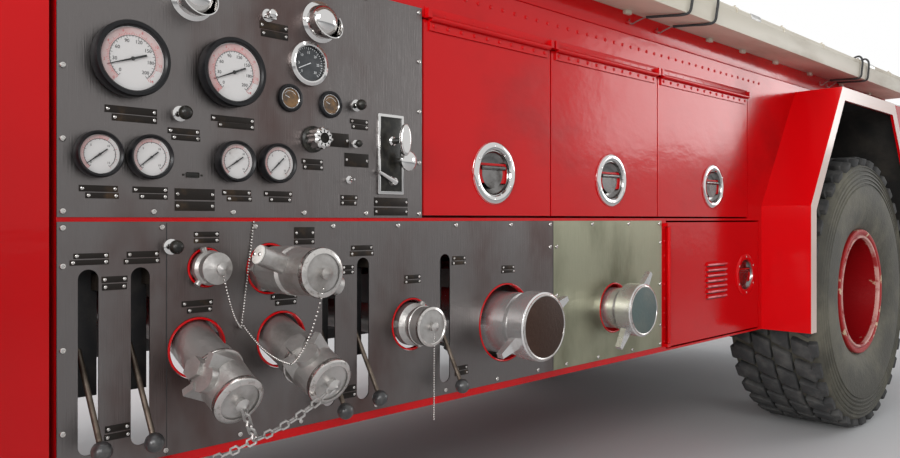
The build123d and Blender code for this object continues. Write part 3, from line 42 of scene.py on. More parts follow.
# Camera: at the height of a crouching photographer, a step and a half from the pump bay, looking back
# along the left side towards the rear wheel.
camera_data = bpy.data.cameras.new("camera")
camera_data.sensor_width = 36
camera_data.lens = 30.92
camera_data.shift_y = -0.0106
camera_data.clip_start = 0.02
camera = bpy.data.objects.new("camera", camera_data)
camera.location = (1.527, 2.420, 0.950)
camera.rotation_euler = (math.radians(90), 0, math.radians(135.5))
scene.collection.objects.link(camera)
scene.camera = camera

# Studio: a pale floor under the tyres, a white surround, and large soft lamps on both sides of the
# vehicle with a long one overhead.
floor_half = 30
floor_mesh = bmesh.new()
bmesh.ops.create_grid(floor_mesh, x_segments=1, y_segments=1, size=floor_half)
floor_data = bpy.data.meshes.new("floor")
floor_mesh.to_mesh(floor_data)
floor_mesh.free()
floor = bpy.data.objects.new("floor", floor_data)
scene.collection.objects.link(floor)
floor_paint = bpy.data.materials.new("studio_floor")
floor_paint.use_nodes = True
floor_shader = floor_paint.node_tree.nodes["Principled BSDF"]
floor_shader.inputs["Base Color"].default_value = (0.62, 0.62, 0.62, 1)
floor_shader.inputs["Roughness"].default_value = 0.75
floor_data.materials.append(floor_paint)

world = bpy.data.worlds.new("surround")
world.use_nodes = True
scene.world = world
sky = world.node_tree.nodes
sky_links = world.node_tree.links
sky.clear()
dim = sky.new("ShaderNodeBackground")
dim.inputs["Color"].default_value = (0.93, 0.96, 1.0, 1)
dim.inputs["Strength"].default_value = 0.42
white = sky.new("ShaderNodeBackground")
white.inputs["Color"].default_value = (1, 1, 1, 1)
white.inputs["Strength"].default_value = 1.0
rays = sky.new("ShaderNodeLightPath")
seen = sky.new("ShaderNodeMath")
seen.operation = "MAXIMUM"
mirrored = sky.new("ShaderNodeMath")
mirrored.operation = "MAXIMUM"
pick = sky.new("ShaderNodeMixShader")
sky_out = sky.new("ShaderNodeOutputWorld")
sky_links.new(rays.outputs["Is Camera Ray"], seen.inputs[0])
sky_links.new(rays.outputs["Is Transmission Ray"], seen.inputs[1])
sky_links.new(seen.outputs[0], mirrored.inputs[0])
sky_links.new(rays.outputs["Is Glossy Ray"], mirrored.inputs[1])
sky_links.new(mirrored.outputs[0], pick.inputs[0])
sky_links.new(dim.outputs[0], pick.inputs[1])
sky_links.new(white.outputs[0], pick.inputs[2])
sky_links.new(pick.outputs[0], sky_out.inputs[0])

# Each lamp: name, place, point it faces, size across and along, watts
lamps = (
    ("lamp_left", (5.4, 6.6, 4.4), (1.2, 1.0, 0.8), 4.5, 3.0, 230),
    ("lamp_rear_left", (-6.6, 3.9, 2.35), (-1.2, 1.0, 1.3), 2.4, 1.3, 45),
    ("lamp_right", (1.0, -8.0, 5.5), (0.0, -1.0, 1.0), 5.0, 3.5, 230),
    ("lamp_front", (9.0, 3.5, 3.0), (-1.5, 1.1, 0.8), 4.5, 3.0, 560),
    ("lamp_top", (-0.5, 0.0, 7.5), (-0.5, 0.0, 0.0), 8.0, 3.0, 210),
)
for name, place, target, across, along, watts in lamps:
    lamp_data = bpy.data.lights.new(name, "AREA")
    lamp_data.shape = "RECTANGLE"
    lamp_data.size = across
    lamp_data.size_y = along
    lamp_data.energy = watts
    lamp = bpy.data.objects.new(name, lamp_data)
    lamp.location = place
    lamp.rotation_euler = (Vector(target) - Vector(place)).to_track_quat("-Z", "Y").to_euler()
    scene.collection.objects.link(lamp)

# Red coachwork: sheet-steel sides, doors, cab and engine housing, sprayed in red enamel that has dulled
# a little and gone darker where dust and water lie.
red = (0.56, 0.002, 0.004)
dusty_red = (0.30, 0.003, 0.004)


def mottle_group():
    """Build the group that blends two colours over a noise pattern and gives its height."""
    group = bpy.data.node_groups.new("mottle", "ShaderNodeTree")
    for socket, kind, value in (
        ("First", "NodeSocketColor", (1, 1, 1, 1)),
        ("Second", "NodeSocketColor", (0, 0, 0, 1)),
        ("Stretch", "NodeSocketVector", (1, 1, 1)),
        ("Scale", "NodeSocketFloat", 5.0),
        ("From", "NodeSocketFloat", 0.4),
        ("To", "NodeSocketFloat", 0.7),
    ):
        group.interface.new_socket(socket, in_out="INPUT", socket_type=kind).default_value = value
    group.interface.new_socket("Color", in_out="OUTPUT", socket_type="NodeSocketColor")
    group.interface.new_socket("Mask", in_out="OUTPUT", socket_type="NodeSocketFloat")
    group.interface.new_socket("Height", in_out="OUTPUT", socket_type="NodeSocketFloat")
    nodes = group.nodes
    links = group.links
    taken = nodes.new("NodeGroupInput")
    given = nodes.new("NodeGroupOutput")
    place = nodes.new("ShaderNodeTexCoord")
    stretch = nodes.new("ShaderNodeMapping")
    noise = nodes.new("ShaderNodeTexNoise")
    noise.inputs["Detail"].default_value = 5.0
    noise.inputs["Roughness"].default_value = 0.6
    spread = nodes.new("ShaderNodeMapRange")
    spread.interpolation_type = "SMOOTHSTEP"
    blend = nodes.new("ShaderNodeMix")
    blend.data_type = "RGBA"
    links.new(place.outputs["Object"], stretch.inputs["Vector"])
    links.new(taken.outputs["Stretch"], stretch.inputs["Scale"])
    links.new(stretch.outputs["Vector"], noise.inputs["Vector"])
    links.new(taken.outputs["Scale"], noise.inputs["Scale"])
    links.new(noise.outputs["Fac"], spread.inputs["Value"])
    links.new(taken.outputs["From"], spread.inputs["From Min"])
    links.new(taken.outputs["To"], spread.inputs["From Max"])
    links.new(spread.outputs["Result"], blend.inputs[0])
    links.new(taken.outputs["First"], blend.inputs[6])
    links.new(taken.outputs["Second"], blend.inputs[7])
    links.new(blend.outputs[2], given.inputs["Color"])
    links.new(spread.outputs["Result"], given.inputs["Mask"])
    links.new(noise.outputs["Fac"], given.inputs["Height"])
    return group


mottle = mottle_group()


def finish(name, first, second, roughness, metallic=0.0, coat=0.0, gloss=0.5, scale=6.0, stretch=(1, 1, 1),
           spread=(0.4, 0.7), bump=0.0, bump_scale=None, bump_stretch=None, rough_range=0.0):
    """Make a material whose colour wanders between two shades, with a bumped, unevenly worn surface."""
    material = bpy.data.materials.new(name)
    material.use_nodes = True
    nodes = material.node_tree.nodes
    links = material.node_tree.links
    shader = nodes["Principled BSDF"]
    shader.inputs["Roughness"].default_value = roughness
    shader.inputs["Metallic"].default_value = metallic
    shader.inputs["Coat Weight"].default_value = coat
    shader.inputs["Coat Roughness"].default_value = 0.06
    shader.inputs["Specular IOR Level"].default_value = gloss
    tone = nodes.new("ShaderNodeGroup")
    tone.name = "tone"
    tone.node_tree = mottle
    tone.inputs["First"].default_value = (*first, 1)
    tone.inputs["Second"].default_value = (*second, 1)
    tone.inputs["Scale"].default_value = scale
    tone.inputs["Stretch"].default_value = stretch
    tone.inputs["From"].default_value, tone.inputs["To"].default_value = spread
    links.new(tone.outputs["Color"], shader.inputs["Base Color"])
    if rough_range:
        rough = nodes.new("ShaderNodeMapRange")
        rough.inputs["To Min"].default_value = roughness
        rough.inputs["To Max"].default_value = roughness + rough_range
        links.new(tone.outputs["Mask"], rough.inputs["Value"])
        links.new(rough.outputs["Result"], shader.inputs["Roughness"])
    if bump:
        relief = nodes.new("ShaderNodeGroup")
        relief.node_tree = mottle
        relief.inputs["Scale"].default_value = bump_scale or scale
        relief.inputs["Stretch"].default_value = bump_stretch or stretch
        lift = nodes.new("ShaderNodeBump")
        lift.inputs["Distance"].default_value = bump
        links.new(relief.outputs["Height"], lift.inputs["Height"])
        links.new(lift.outputs["Normal"], shader.inputs["Normal"])
    return material


enamel = finish(
    "red_enamel", red, dusty_red, 0.15, gloss=0.22, scale=1.5, stretch=(1, 1, 1.6), spread=(0.5, 0.86),
    bump=0.0035, bump_scale=2.2, rough_range=0.14,
)
red_nodes = ["body_left", "body_right", "cab_shell", "cab_door_left", "cab_door_right", "engine_housing"]
red_nodes += ["water_tank", "monitor_base", "monitor_head", "monitor_barrel"]
red_nodes += ["louvre_door_left", "louvre_door_right"]
red_nodes += [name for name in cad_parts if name.startswith("locker_door")]


def dress(names, material):
    """Give frame pieces their finish."""
    for name in names:
        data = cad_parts[name].data
        data.materials.clear()
        data.materials.append(material)


dress(red_nodes, enamel)


# Wheel arch flares: folded sheet in the same red, with a pale pink painted highlight along the outward face
# of the lip, and an underseal-coated liner inside the arch that dust has dulled.
flare_red_lit_lip = finish(
    "red_enamel_flare", red, dusty_red, 0.16, gloss=0.22, scale=1.5, spread=(0.55, 0.9), rough_range=0.14
)
# The lip's outward face is painted a pale pink: a painted highlight.
lip_highlight_pink = (0.66, 0.50, 0.44)
lip_face_y = 1.2475


def two_tone(material, axis, operation, limit, mirrored=False):
    """Split a material's colour at a limit along one axis and return the mix whose second colour is free."""
    nodes = material.node_tree.nodes
    links = material.node_tree.links
    where = nodes.new("ShaderNodeTexCoord")
    parts = nodes.new("ShaderNodeSeparateXYZ")
    beyond = nodes.new("ShaderNodeMath")
    beyond.operation = operation
    beyond.inputs[1].default_value = limit
    blend = nodes.new("ShaderNodeMix")
    blend.data_type = "RGBA"
    links.new(where.outputs["Object"], parts.inputs["Vector"])
    distance = parts.outputs[axis]
    if mirrored:
        positive = nodes.new("ShaderNodeMath")
        positive.operation = "ABSOLUTE"
        links.new(distance, positive.inputs[0])
        distance = positive.outputs[0]
    links.new(distance, beyond.inputs[0])
    links.new(beyond.outputs[0], blend.inputs[0])
    links.new(nodes["tone"].outputs["Color"], blend.inputs[6])
    links.new(blend.outputs[2], nodes["Principled BSDF"].inputs["Base Color"])
    return blend


# Paint the highlight on the lip's outward face, beyond lip_face_y on either side.
lip_highlight_blend = two_tone(flare_red_lit_lip, "Y", "GREATER_THAN", lip_face_y, mirrored=True)
lip_highlight_blend.inputs[7].default_value = (*lip_highlight_pink, 1)
dress(["front_flares", "rear_flares"], flare_red_lit_lip)

# Rivets: small round heads, painted over, that hold the header sheet and the hinge leaves, in one row along
# the sheet's top edge, one on each side of every hinge line and one beside the louvred door.
mm = 0.001
body_side = 1050
rivet_pitch = 48
row_inset, leaf_inset, leaf_lift = 20, 30, 5
edge_row_z, header_row_z, leaf_row_z = 1506, 1450, 1419
post_row_x, louvre_row_x = -846, -873


def collect_mesh(bm, name, merge=1e-7):
    """Keep a mesh in the making as a small mesh to stamp."""
    bmesh.ops.remove_doubles(bm, verts=bm.verts, dist=merge)
    bmesh.ops.recalc_face_normals(bm, faces=bm.faces)
    data = bpy.data.meshes.new(name)
    bm.to_mesh(data)
    bm.free()
    return data


def turned(name, section, steps=32):
    """Make the small mesh of a turned piece: a closed (radius, height) section spun about its axis."""
    bm = bmesh.new()
    ring = [bm.verts.new((radius * mm, 0, height * mm)) for radius, height in section]
    edges = [bm.edges.new(pair) for pair in zip(ring, ring[1:])]
    bmesh.ops.spin(
        bm, geom=ring + edges, cent=(0, 0, 0), axis=(0, 0, 1), angle=math.tau, steps=steps, use_merge=True
    )
    return collect_mesh(bm, name, merge=1e-6)


def stamp(bm, data, place):
    """Copy a small mesh into a larger one, set in its place."""
    copy = data.copy()
    copy.transform(place)
    bm.from_mesh(copy)
    bpy.data.meshes.remove(copy)


def at(x, y, z):
    """Give a move to a place in millimetres."""
    return Matrix.Translation((x * mm, y * mm, z * mm))


def facing(x, y, z, side=1):
    """Give the place, in millimetres, of a piece whose own Z points out of a side and own Y points up."""
    return at(x, y, z) @ Matrix(((-side, 0, 0), (0, 0, side), (0, 1, 0))).to_4x4()


def put(bm, name, material, body, sharp=35):
    """Make a finished piece from a mesh in the making, smooth but for its sharp edges."""
    data = bpy.data.meshes.new(name)
    bm.to_mesh(data)
    bm.free()
    data.materials.append(material)
    data.shade_smooth()
    data.set_sharp_from_angle(angle=math.radians(sharp))
    piece = bpy.data.objects.new(name, data)
    scene.collection.objects.link(piece)
    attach(piece, body)
    return piece


def rivet_row(bm, start, end, side):
    """Stamp rivets on a side from one (x, z) to another."""
    run = Vector(end) - Vector(start)
    count = max(2, round(run.length / rivet_pitch))
    for step in range(count + 1):
        spot = Vector(start) + run * step / count
        stamp(bm, rivet, facing(spot.x, side * body_side, spot.y, side))


def leaf_row(name, start, end, side, body):
    """Rivet a hinge leaf that swings with its door."""
    row = bmesh.new()
    rivet_row(row, start, end, side)
    bmesh.ops.translate(row, verts=row.verts, vec=(0, side * leaf_lift * mm, 0))
    put(row, name, enamel, body)


rivet = turned("rivet", [(0, 0), (5.5, 0), (5.2, 1.3), (3.6, 2.5), (1.6, 3.0), (0, 3.1)], steps=10)
# Each side: its sign, its word, and the ends of its lift-up doors
body_sides = (
    (1, "left", ((-218, 270), (-797, -224), (-1481, -803))),
    (-1, "right", ((-198, 1079), (-1481, -204))),
)
header_rivets = bmesh.new()
for side, word, doors in body_sides:
    rivet_row(header_rivets, (1080, edge_row_z), (-1590, edge_row_z), side)
    for order, (low, high) in enumerate(doors, start=1):
        rivet_row(header_rivets, (low + row_inset, header_row_z), (high - row_inset, header_row_z), side)
        first, last = (low + leaf_inset, leaf_row_z), (high - leaf_inset, leaf_row_z)
        leaf_row(f"hinge_rivets_{word}_{order}", first, last, side, f"locker_door_{word}_{order}")
    rivet_row(header_rivets, (post_row_x, 532), (post_row_x, 925), side)
    first, last = (louvre_row_x, 545), (louvre_row_x, 910)
    leaf_row(f"louvre_rivets_{word}", first, last, side, f"louvre_door_{word}")
put(header_rivets, "header_rivets", enamel, "chassis")

# Hinge leaves on the header: thin steel strips above each lift-up door, painted with the body, whose
# upper edge draws a second line along the side.


def ease(bm, edges, width, segments=2):
    """Round some edges by a width in millimetres."""
    bmesh.ops.bevel(
        bm, geom=edges, offset=width * mm, offset_type="OFFSET", segments=segments, profile=0.5,
        affect="EDGES", material=-1,
    )


def add_box(bm, low, high, bevel=0.0):
    """Add a box between two corners in millimetres, with its edges eased."""
    size = [(b - a) * mm for a, b in zip(low, high)]
    middle = [(a + b) / 2 * mm for a, b in zip(low, high)]
    place = Matrix.Translation(middle) @ Matrix.Diagonal((*size, 1))
    made = bmesh.ops.create_cube(bm, size=1, matrix=place)
    if bevel:
        ease(bm, list({edge for vert in made["verts"] for edge in vert.link_edges}), bevel)


def side_box(bm, side, x, reach, z, bevel=0.0):
    """Add a box on one side of the vehicle, given its ends in x, outward from the middle, and in z."""
    near, far = sorted((side * reach[0], side * reach[1]))
    add_box(bm, (x[0], near, z[0]), (x[1], far, z[1]), bevel)


leaves = bmesh.new()
for side, ends in ((1, (-1479, 268)), (-1, (-1479, 1077))):
    side_box(leaves, side, ends, (body_side, body_side + 2.5), (1440, 1463), 0.8)
put(leaves, "header_hinge_leaf", enamel, "chassis")

# Flush latches: ring and bowl pressed from sheet and chromed, screwed round the edge, with a paddle across
# the bowl that pulls out; the ring on the louvred door is painted over. Bowl and paddle take a much darker
# chrome, which is painted shade in the recess.
chrome = finish(
    "chrome_plate", (0.60, 0.59, 0.58), (0.30, 0.28, 0.27), 0.08, metallic=1.0, scale=14,
    spread=(0.58, 0.8), rough_range=0.18,
)
# Much darker chrome for the latch bowls and paddles: painted shade in the recess.
bowl_chrome_painted_shade = finish(
    "bowl_chrome_painted_shade", (0.20, 0.195, 0.19), (0.07, 0.062, 0.058), 0.16, metallic=1.0, scale=22,
    spread=(0.4, 0.7), rough_range=0.2,
)
# Near black: the panel seam lines, and painted shade in the slits under the louvre blades and vent hoods and
# behind the lever slots.
dark = finish("seam_black_and_painted_shade", (0.012, 0.012, 0.013), (0.03, 0.027, 0.025), 0.6, scale=30)
ring_section = [(58, 0), (82, 0), (82.5, 2), (80, 4.5), (76, 6), (68, 6.5), (62, 5), (60, 2)]
latch_ring = turned("latch_ring", ring_section, steps=56)
bowl_section = [(0, -15), (44, -15), (52, -13), (58, -7), (61, 4), (63, 4), (60, -8), (53, -15.6), (0, -15.6)]
latch_bowl = turned("latch_bowl", bowl_section, steps=56)
latch_screw = turned("latch_screw", [(0, 0), (4.2, 0), (4.2, 1), (3, 2.2), (0, 2.4)], steps=10)
screw_count, screw_ring = 6, 70


def swung(degrees, axis):
    """Give a turn about one axis."""
    return Matrix.Rotation(math.radians(degrees), 4, axis)


def latch_paddle():
    """Build the paddle: a D-shaped pull with a rolled edge, hinged across the upper part of the bowl."""
    paddle_radius, flat_height = 40, 12
    bm = bmesh.new()
    made = bmesh.ops.create_circle(bm, cap_ends=True, segments=40, radius=paddle_radius * mm)
    for vert in made["verts"]:
        vert.co.y = min(vert.co.y, flat_height * mm)
    bmesh.ops.translate(bm, verts=bm.verts, vec=(0, 0, -4 * mm))
    bmesh.ops.inset_region(bm, faces=bm.faces[:], thickness=5 * mm, depth=-4 * mm)
    bmesh.ops.recalc_face_normals(bm, faces=bm.faces)
    bmesh.ops.solidify(bm, geom=bm.faces[:], thickness=2.5 * mm)
    barrel = at(0, 14, -5) @ swung(90, "Y")
    bmesh.ops.create_cone(
        bm, cap_ends=True, segments=16, radius1=6 * mm, radius2=6 * mm, depth=92 * mm, matrix=barrel
    )
    data = bpy.data.meshes.new("latch_paddle")
    bm.to_mesh(data)
    bm.free()
    return data


def put_one(name, data, place, material, body, sharp=35):
    """Make a finished piece of one small mesh in one place."""
    bm = bmesh.new()
    stamp(bm, data, place)
    return put(bm, name, material, body, sharp)


latch_hand = latch_paddle()
latch_places = (
    ("locker_door_left_1", 1, 18, 1072),
    ("locker_door_left_2", 1, -525, 1072),
    ("locker_door_left_3", 1, -1195, 1072),
    ("louvre_door_left", 1, -1464, 731),
    ("locker_door_right_1", -1, 440, 1072),
    ("locker_door_right_2", -1, -842, 1072),
    ("louvre_door_right", -1, -1464, 731),
)
for body, side, x, z in latch_places:
    latch = bmesh.new()
    place = facing(x, side * body_side, z, side)
    if "louvre" not in body:
        stamp(latch, latch_ring, place)
    for step in range(screw_count):
        angle = math.tau * (step + 0.5) / screw_count
        spot = at(screw_ring * math.cos(angle), screw_ring * math.sin(angle), 6)
        stamp(latch, latch_screw, place @ spot)
    put(latch, f"latch_{body}", chrome, body)
    pull = bmesh.new()
    stamp(pull, latch_bowl, place)
    stamp(pull, latch_hand, place)
    put(pull, f"latch_pull_{body}", bowl_chrome_painted_shade, body)
    if "louvre" in body:
        put_one(f"latch_ring_{body}", latch_ring, place, enamel, body)

# Louvres: seven blades pressed out of the small door, each with a black strip of painted shade under it for
# the slit, and paint worn thin along its lip. The same pressed slits, with painted shade under their hoods,
# let air through the sides of the engine housing.
worn_lip = finish(
    "worn_lip", (0.66, 0.16, 0.18), (0.52, 0.03, 0.04), 0.25, gloss=0.4, scale=30, spread=(0.45, 0.7)
)
louvre_x, louvre_foot, louvre_pitch, louvre_count = (-1292, -1145), 659, 20, 7
vent_foot, vent_pitch, vent_count = 1655, 24, 8
for side, word in ((1, "left"), (-1, "right")):
    slits = bmesh.new()
    lips = bmesh.new()
    for step in range(louvre_count):
        z = louvre_foot + louvre_pitch * step
        # The black strip under each blade is painted shade.
        side_box(slits, side, louvre_x, (1050.2, 1051.4), (z - 4.5, z - 0.3), 0.3)
        side_box(lips, side, louvre_x, (1055, 1060.6), (z - 0.4, z + 6.5), 2)
    put(slits, f"louvre_slit_shade_{word}", dark, f"louvre_door_{word}")
    put(lips, f"louvre_lips_{word}", worn_lip, f"louvre_door_{word}")
vent_slits = bmesh.new()
vent_hoods = bmesh.new()
for side in (1, -1):
    for step in range(vent_count):
        z = vent_foot + vent_pitch * step
        for low, high in ((-3500, -3110), (-3080, -2760)):
            # The black strip under each hood is painted shade.
            side_box(vent_slits, side, (low, high), (640.2, 641.4), (z - 6, z - 0.4), 0.4)
            side_box(vent_hoods, side, (low - 4, high + 4), (639, 649), (z, z + 7), 2.5)
put(vent_slits, "housing_vent_slit_shade", dark, "chassis")
put(vent_hoods, "housing_vent_hoods", enamel, "chassis")

# Arch liners: black underseal sprayed over a thin sheet that follows each arch, from the flare's lip in to
# the locker wall.
underseal = finish(
    "black_underseal", (0.014, 0.013, 0.012), (0.045, 0.038, 0.030), 0.8, gloss=0.3, scale=5,
    spread=(0.4, 0.8), bump=0.002, bump_scale=60,
)
arch_foot, arch_knee, arch_inner_y, lip_inner_y = 500, 1006, 562, 1235
liners = bmesh.new()
skin_gap = 14
# Each arch: axle, half width at the foot, half width and height of its top
for axle_x, half, top_half, arch_top in ((-2318, 702, 355, 1514), (2182, 800, 420, 1412)):
    foot, head = half - skin_gap, top_half - skin_gap / 2
    knee_z, top_z = arch_knee - skin_gap / 3, arch_top - skin_gap
    outline = [(-foot, arch_foot), (-foot, knee_z), (-head, top_z)]
    outline += [(-x, z) for x, z in reversed(outline)]
    for side in (1, -1):
        sheet = bmesh.new()
        corners = [sheet.verts.new(((axle_x + x) * mm, side * arch_inner_y * mm, z * mm)) for x, z in outline]
        run = [sheet.edges.new(pair) for pair in zip(corners, corners[1:])]
        grown = bmesh.ops.extrude_edge_only(sheet, edges=run)
        rim = [item for item in grown["geom"] if isinstance(item, bmesh.types.BMVert)]
        bmesh.ops.translate(sheet, verts=rim, vec=(0, side * (lip_inner_y - arch_inner_y) * mm, 0))
        bmesh.ops.recalc_face_normals(sheet, faces=sheet.faces)
        bmesh.ops.solidify(sheet, geom=sheet.faces[:], thickness=1 * mm)
        stamp(liners, collect_mesh(sheet, "liner"), Matrix.Identity(4))
put(liners, "arch_liners", underseal, "chassis")

# Pump panels: brushed stainless sheet, screwed on round the edges, browned by heat and water, with faint
# runs below the gauges. Two sheets overlap at a thin seam.
steel = finish(
    "brushed_stainless", (0.155, 0.143, 0.140), (0.085, 0.052, 0.047), 0.28, metallic=1.0, scale=2.6,
    stretch=(1, 1, 0.5), spread=(0.42, 0.72), bump=0.0006, bump_scale=60, bump_stretch=(9, 9, 0.25),
    rough_range=0.12,
)
dress(["pump_panels"], steel)
# The rear sheet, behind the seam, is paler and yellower
rear_sheet_x = -0.2285
rear_tone = steel.node_tree.nodes.new("ShaderNodeGroup")
rear_tone.node_tree = mottle
rear_tone.inputs["First"].default_value = (0.30, 0.30, 0.215, 1)
rear_tone.inputs["Second"].default_value = (0.14, 0.14, 0.09, 1)
rear_tone.inputs["Scale"].default_value = 2.2
rear_tone.inputs["Stretch"].default_value = (1.6, 1, 0.7)
sheet_tone = two_tone(steel, "X", "LESS_THAN", rear_sheet_x)
steel.node_tree.links.new(rear_tone.outputs["Color"], sheet_tone.inputs[7])
bright_steel = finish(
    "bright_screws", (0.52, 0.50, 0.48), (0.24, 0.22, 0.20), 0.22, metallic=1.0, scale=80,
    spread=(0.5, 0.75),
)
panel_face = 1053


def on_panel(x, z):
    """Give the place of a piece that stands on the left pump panel."""
    return facing(x, panel_face, z)


screw_section = [(0, 0), (5.6, 0), (5.6, 1.0), (4.6, 2.6), (2.6, 3.2), (2.4, 2.0), (0, 2.0)]
screw = turned("panel_screw", screw_section, steps=14)
upper_screws = [(x, z) for x in (1086, 288) for z in (1443, 1326, 1207, 1085, 964)]
upper_screws += [(x, z) for x in (932, 775, 612, 448) for z in (1446, 964)]
lower_screws = [(x, 936) for x in (1086, 917, 727, 538, 354, 163, -45, -214, -420, -620, -806)]
lower_screws += [(x, 530) for x in (1086, 910, 760, 620, 420, 200, 10, -160, -290, -450, -640, -812)]
lower_screws += [(x, z) for x in (1086, -214, -244, -812) for z in (872, 732, 593)]
panel_screws = bmesh.new()
for x, z in upper_screws + lower_screws:
    stamp(panel_screws, screw, on_panel(x, z))
for x, z in lower_screws:
    stamp(panel_screws, screw, facing(x, -panel_face, z, -1))
put(panel_screws, "panel_screws", bright_steel, "chassis")
seams = bmesh.new()
for x in (908, -229):
    for side in (1, -1):
        side_box(seams, side, (x - 0.8, x + 0.8), (panel_face, panel_face + 0.5), (521, 944))
put(seams, "panel_seams", dark, "chassis")

# Name plates: thin strips enamelled nearly black, left blank, each held on the panel by a bright rivet at
# either end.
plate_enamel = finish(
    "plate_enamel", (0.012, 0.009, 0.007), (0.060, 0.036, 0.018), 0.4, gloss=0.2, scale=25,
    spread=(0.5, 0.8),
)
plate_thick, rivet_inset = 1.2, 5
# Each plate: x and z of its middle, width, height
name_plates = (
    (972, 1142, 92, 13), (966, 1128, 80, 12), (875, 1113, 62, 11), (871, 1101, 56, 10),
    (1028, 1003, 65, 11), (1022, 991, 56, 10), (938, 1003, 64, 11), (932, 991, 52, 10),
    (853, 997, 79, 21), (853, 975, 79, 18), (775, 1144, 92, 12), (768, 1132, 78, 11), (684, 1340, 65, 15),
    (682, 1324, 62, 14), (767, 1002, 62, 11), (761, 990, 54, 10), (674, 1002, 66, 11), (669, 990, 52, 10),
    (591, 1072, 53, 11), (589, 1060, 51, 11), (521, 1122, 50, 30), (474, 1081, 66, 30),
    (467, 1167, 50, 11), (465, 1155, 46, 11), (495, 998, 46, 11), (496, 986, 44, 11), (374, 990, 100, 20),
    (374, 968, 100, 18), (1040, 888, 58, 9), (1043, 877, 64, 9), (951, 888, 58, 11), (953, 876, 65, 10),
    (1001, 846, 44, 11), (1001, 833, 42, 11), (996, 587, 42, 12), (996, 573, 45, 11), (830, 922, 51, 10),
    (830, 910, 51, 9), (848, 793, 62, 11), (844, 780, 50, 10), (611, 922, 50, 24), (611, 903, 50, 11),
    (660, 793, 62, 11), (656, 780, 50, 11), (498, 845, 33, 10), (498, 834, 33, 9), (459, 887, 60, 11),
    (459, 874, 66, 11), (499, 579, 44, 14), (499, 564, 46, 12), (308, 814, 50, 10), (308, 803, 52, 8),
    (152, 853, 46, 11), (152, 841, 50, 9), (143, 577, 42, 11), (143, 564, 47, 11), (-34, 822, 50, 11),
    (-34, 811, 54, 8),
)
plates = bmesh.new()
plate_rivets = bmesh.new()
plate_rivet = turned("plate_rivet", [(0, 0), (3.2, 0), (3.0, 1.0), (1.6, 1.9), (0, 2.1)], steps=8)
for x, z, width, height in name_plates:
    across, up = (x - width / 2, x + width / 2), (z - height / 2, z + height / 2)
    side_box(plates, 1, across, (panel_face, panel_face + plate_thick), up, 0.4)
    for way in (1, -1):
        stamp(plate_rivets, plate_rivet, facing(x + way * (width / 2 - rivet_inset), panel_face + 1, z))
put(plates, "name_plates", plate_enamel, "chassis")
put(plate_rivets, "name_plate_rivets", bright_steel, "chassis")

# Gauges: moulded black cases with a pressed-on bezel, white enamelled dials with a black and a red scale
# and a black needle; the tachometer has a chromed bezel, and the two sight gauges an amber face.
black_case = finish(
    "gauge_case", (0.006, 0.006, 0.007), (0.020, 0.020, 0.021), 0.3, gloss=0.25, scale=20,
    spread=(0.45, 0.8),
)
dial_white = finish(
    "dial_white", (0.62, 0.60, 0.585), (0.48, 0.44, 0.41), 0.35, scale=22, spread=(0.55, 0.85)
)
dial_pink = finish("dial_pink", (0.56, 0.30, 0.29), (0.58, 0.46, 0.44), 0.4, scale=16, spread=(0.3, 0.6))
ink_black = finish("ink_black", (0.012, 0.012, 0.012), (0.04, 0.04, 0.04), 0.45, scale=60)
ink_red = finish("ink_red", (0.50, 0.02, 0.03), (0.60, 0.10, 0.10), 0.45, scale=60)
dial_black = finish("dial_black", (0.030, 0.033, 0.036), (0.060, 0.063, 0.066), 0.4, scale=40)
ink_white = finish("ink_white", (0.75, 0.76, 0.76), (0.55, 0.56, 0.56), 0.5, scale=60)
amber = finish(
    "amber_face", (0.20, 0.095, 0.020), (0.045, 0.022, 0.006), 0.15, coat=0.3, scale=60, spread=(0.35, 0.7)
)
# Each pressure gauge: x, z, radius, how far it stands out, where its needle points in degrees
pressure_gauges = (
    (978, 1230, 66.5, 30, 199), (784, 1232, 66.5, 30, 203),
    (1032, 1061, 40, 25, 217), (943, 1061, 40, 25, 219), (776, 1062, 40, 25, 214), (683, 1063, 40, 25, 224),
)
sight_gauges = ((647, 1200), (546, 1197))
scale_end, scale_sweep, dial_depth = 232, 284, 9


def settled_mesh(holder):
    """Keep an object's shape as it stands now as a mesh."""
    bpy.context.view_layer.update()
    return bpy.data.meshes.new_from_object(holder.evaluated_get(bpy.context.evaluated_depsgraph_get()))


def curve_mesh(curve):
    """Turn a curve or a text into a mesh."""
    holder = bpy.data.objects.new("curve", curve)
    scene.collection.objects.link(holder)
    data = settled_mesh(holder)
    bpy.data.objects.remove(holder)
    return data


def lathe(bm, section, steps, place):
    """Spin a closed section and set it in its place in a larger mesh."""
    stamp(bm, turned("turned", section, steps=steps), place)


def numerals(bm, words, radius, size, first, last, lift):
    """Set plain numbers upright round a dial, from one angle to another."""
    for step, word in enumerate(words):
        angle = math.radians(first + (last - first) * step / (len(words) - 1))
        curve = bpy.data.curves.new("numeral", "FONT")
        curve.body = word
        curve.size = size * mm
        curve.align_x = "CENTER"
        curve.align_y = "CENTER"
        curve.extrude = 0.00015
        curve.resolution_u = 2
        stamp(bm, curve_mesh(curve), at(radius * math.cos(angle), radius * math.sin(angle), lift))


def tick(bm, angle, inner, outer, width, lift):
    """Add one short mark of a scale."""
    size = Matrix.Diagonal(((outer - inner) * mm, width * mm, 0.3 * mm, 1))
    bmesh.ops.create_cube(bm, size=1, matrix=swung(angle, "Z") @ at((inner + outer) / 2, 0, lift) @ size)


def arc_band(bm, inner, outer, first, last, lift, steps=40):
    """Add a thin flat band along part of a circle."""
    ends = [(inner, lift), (outer, lift), (outer, lift + 0.25), (inner, lift + 0.25)]
    turn = swung(first, "Z")
    corners = [bm.verts.new(turn @ Vector((radius * mm, 0, height * mm))) for radius, height in ends]
    face = bm.faces.new(corners)
    bmesh.ops.recalc_face_normals(bm, faces=[face])
    sweep = math.radians(last - first)
    band = [face, *face.edges, *corners]
    bmesh.ops.spin(bm, geom=band, cent=(0, 0, 0), axis=(0, 0, 1), angle=sweep, steps=steps)


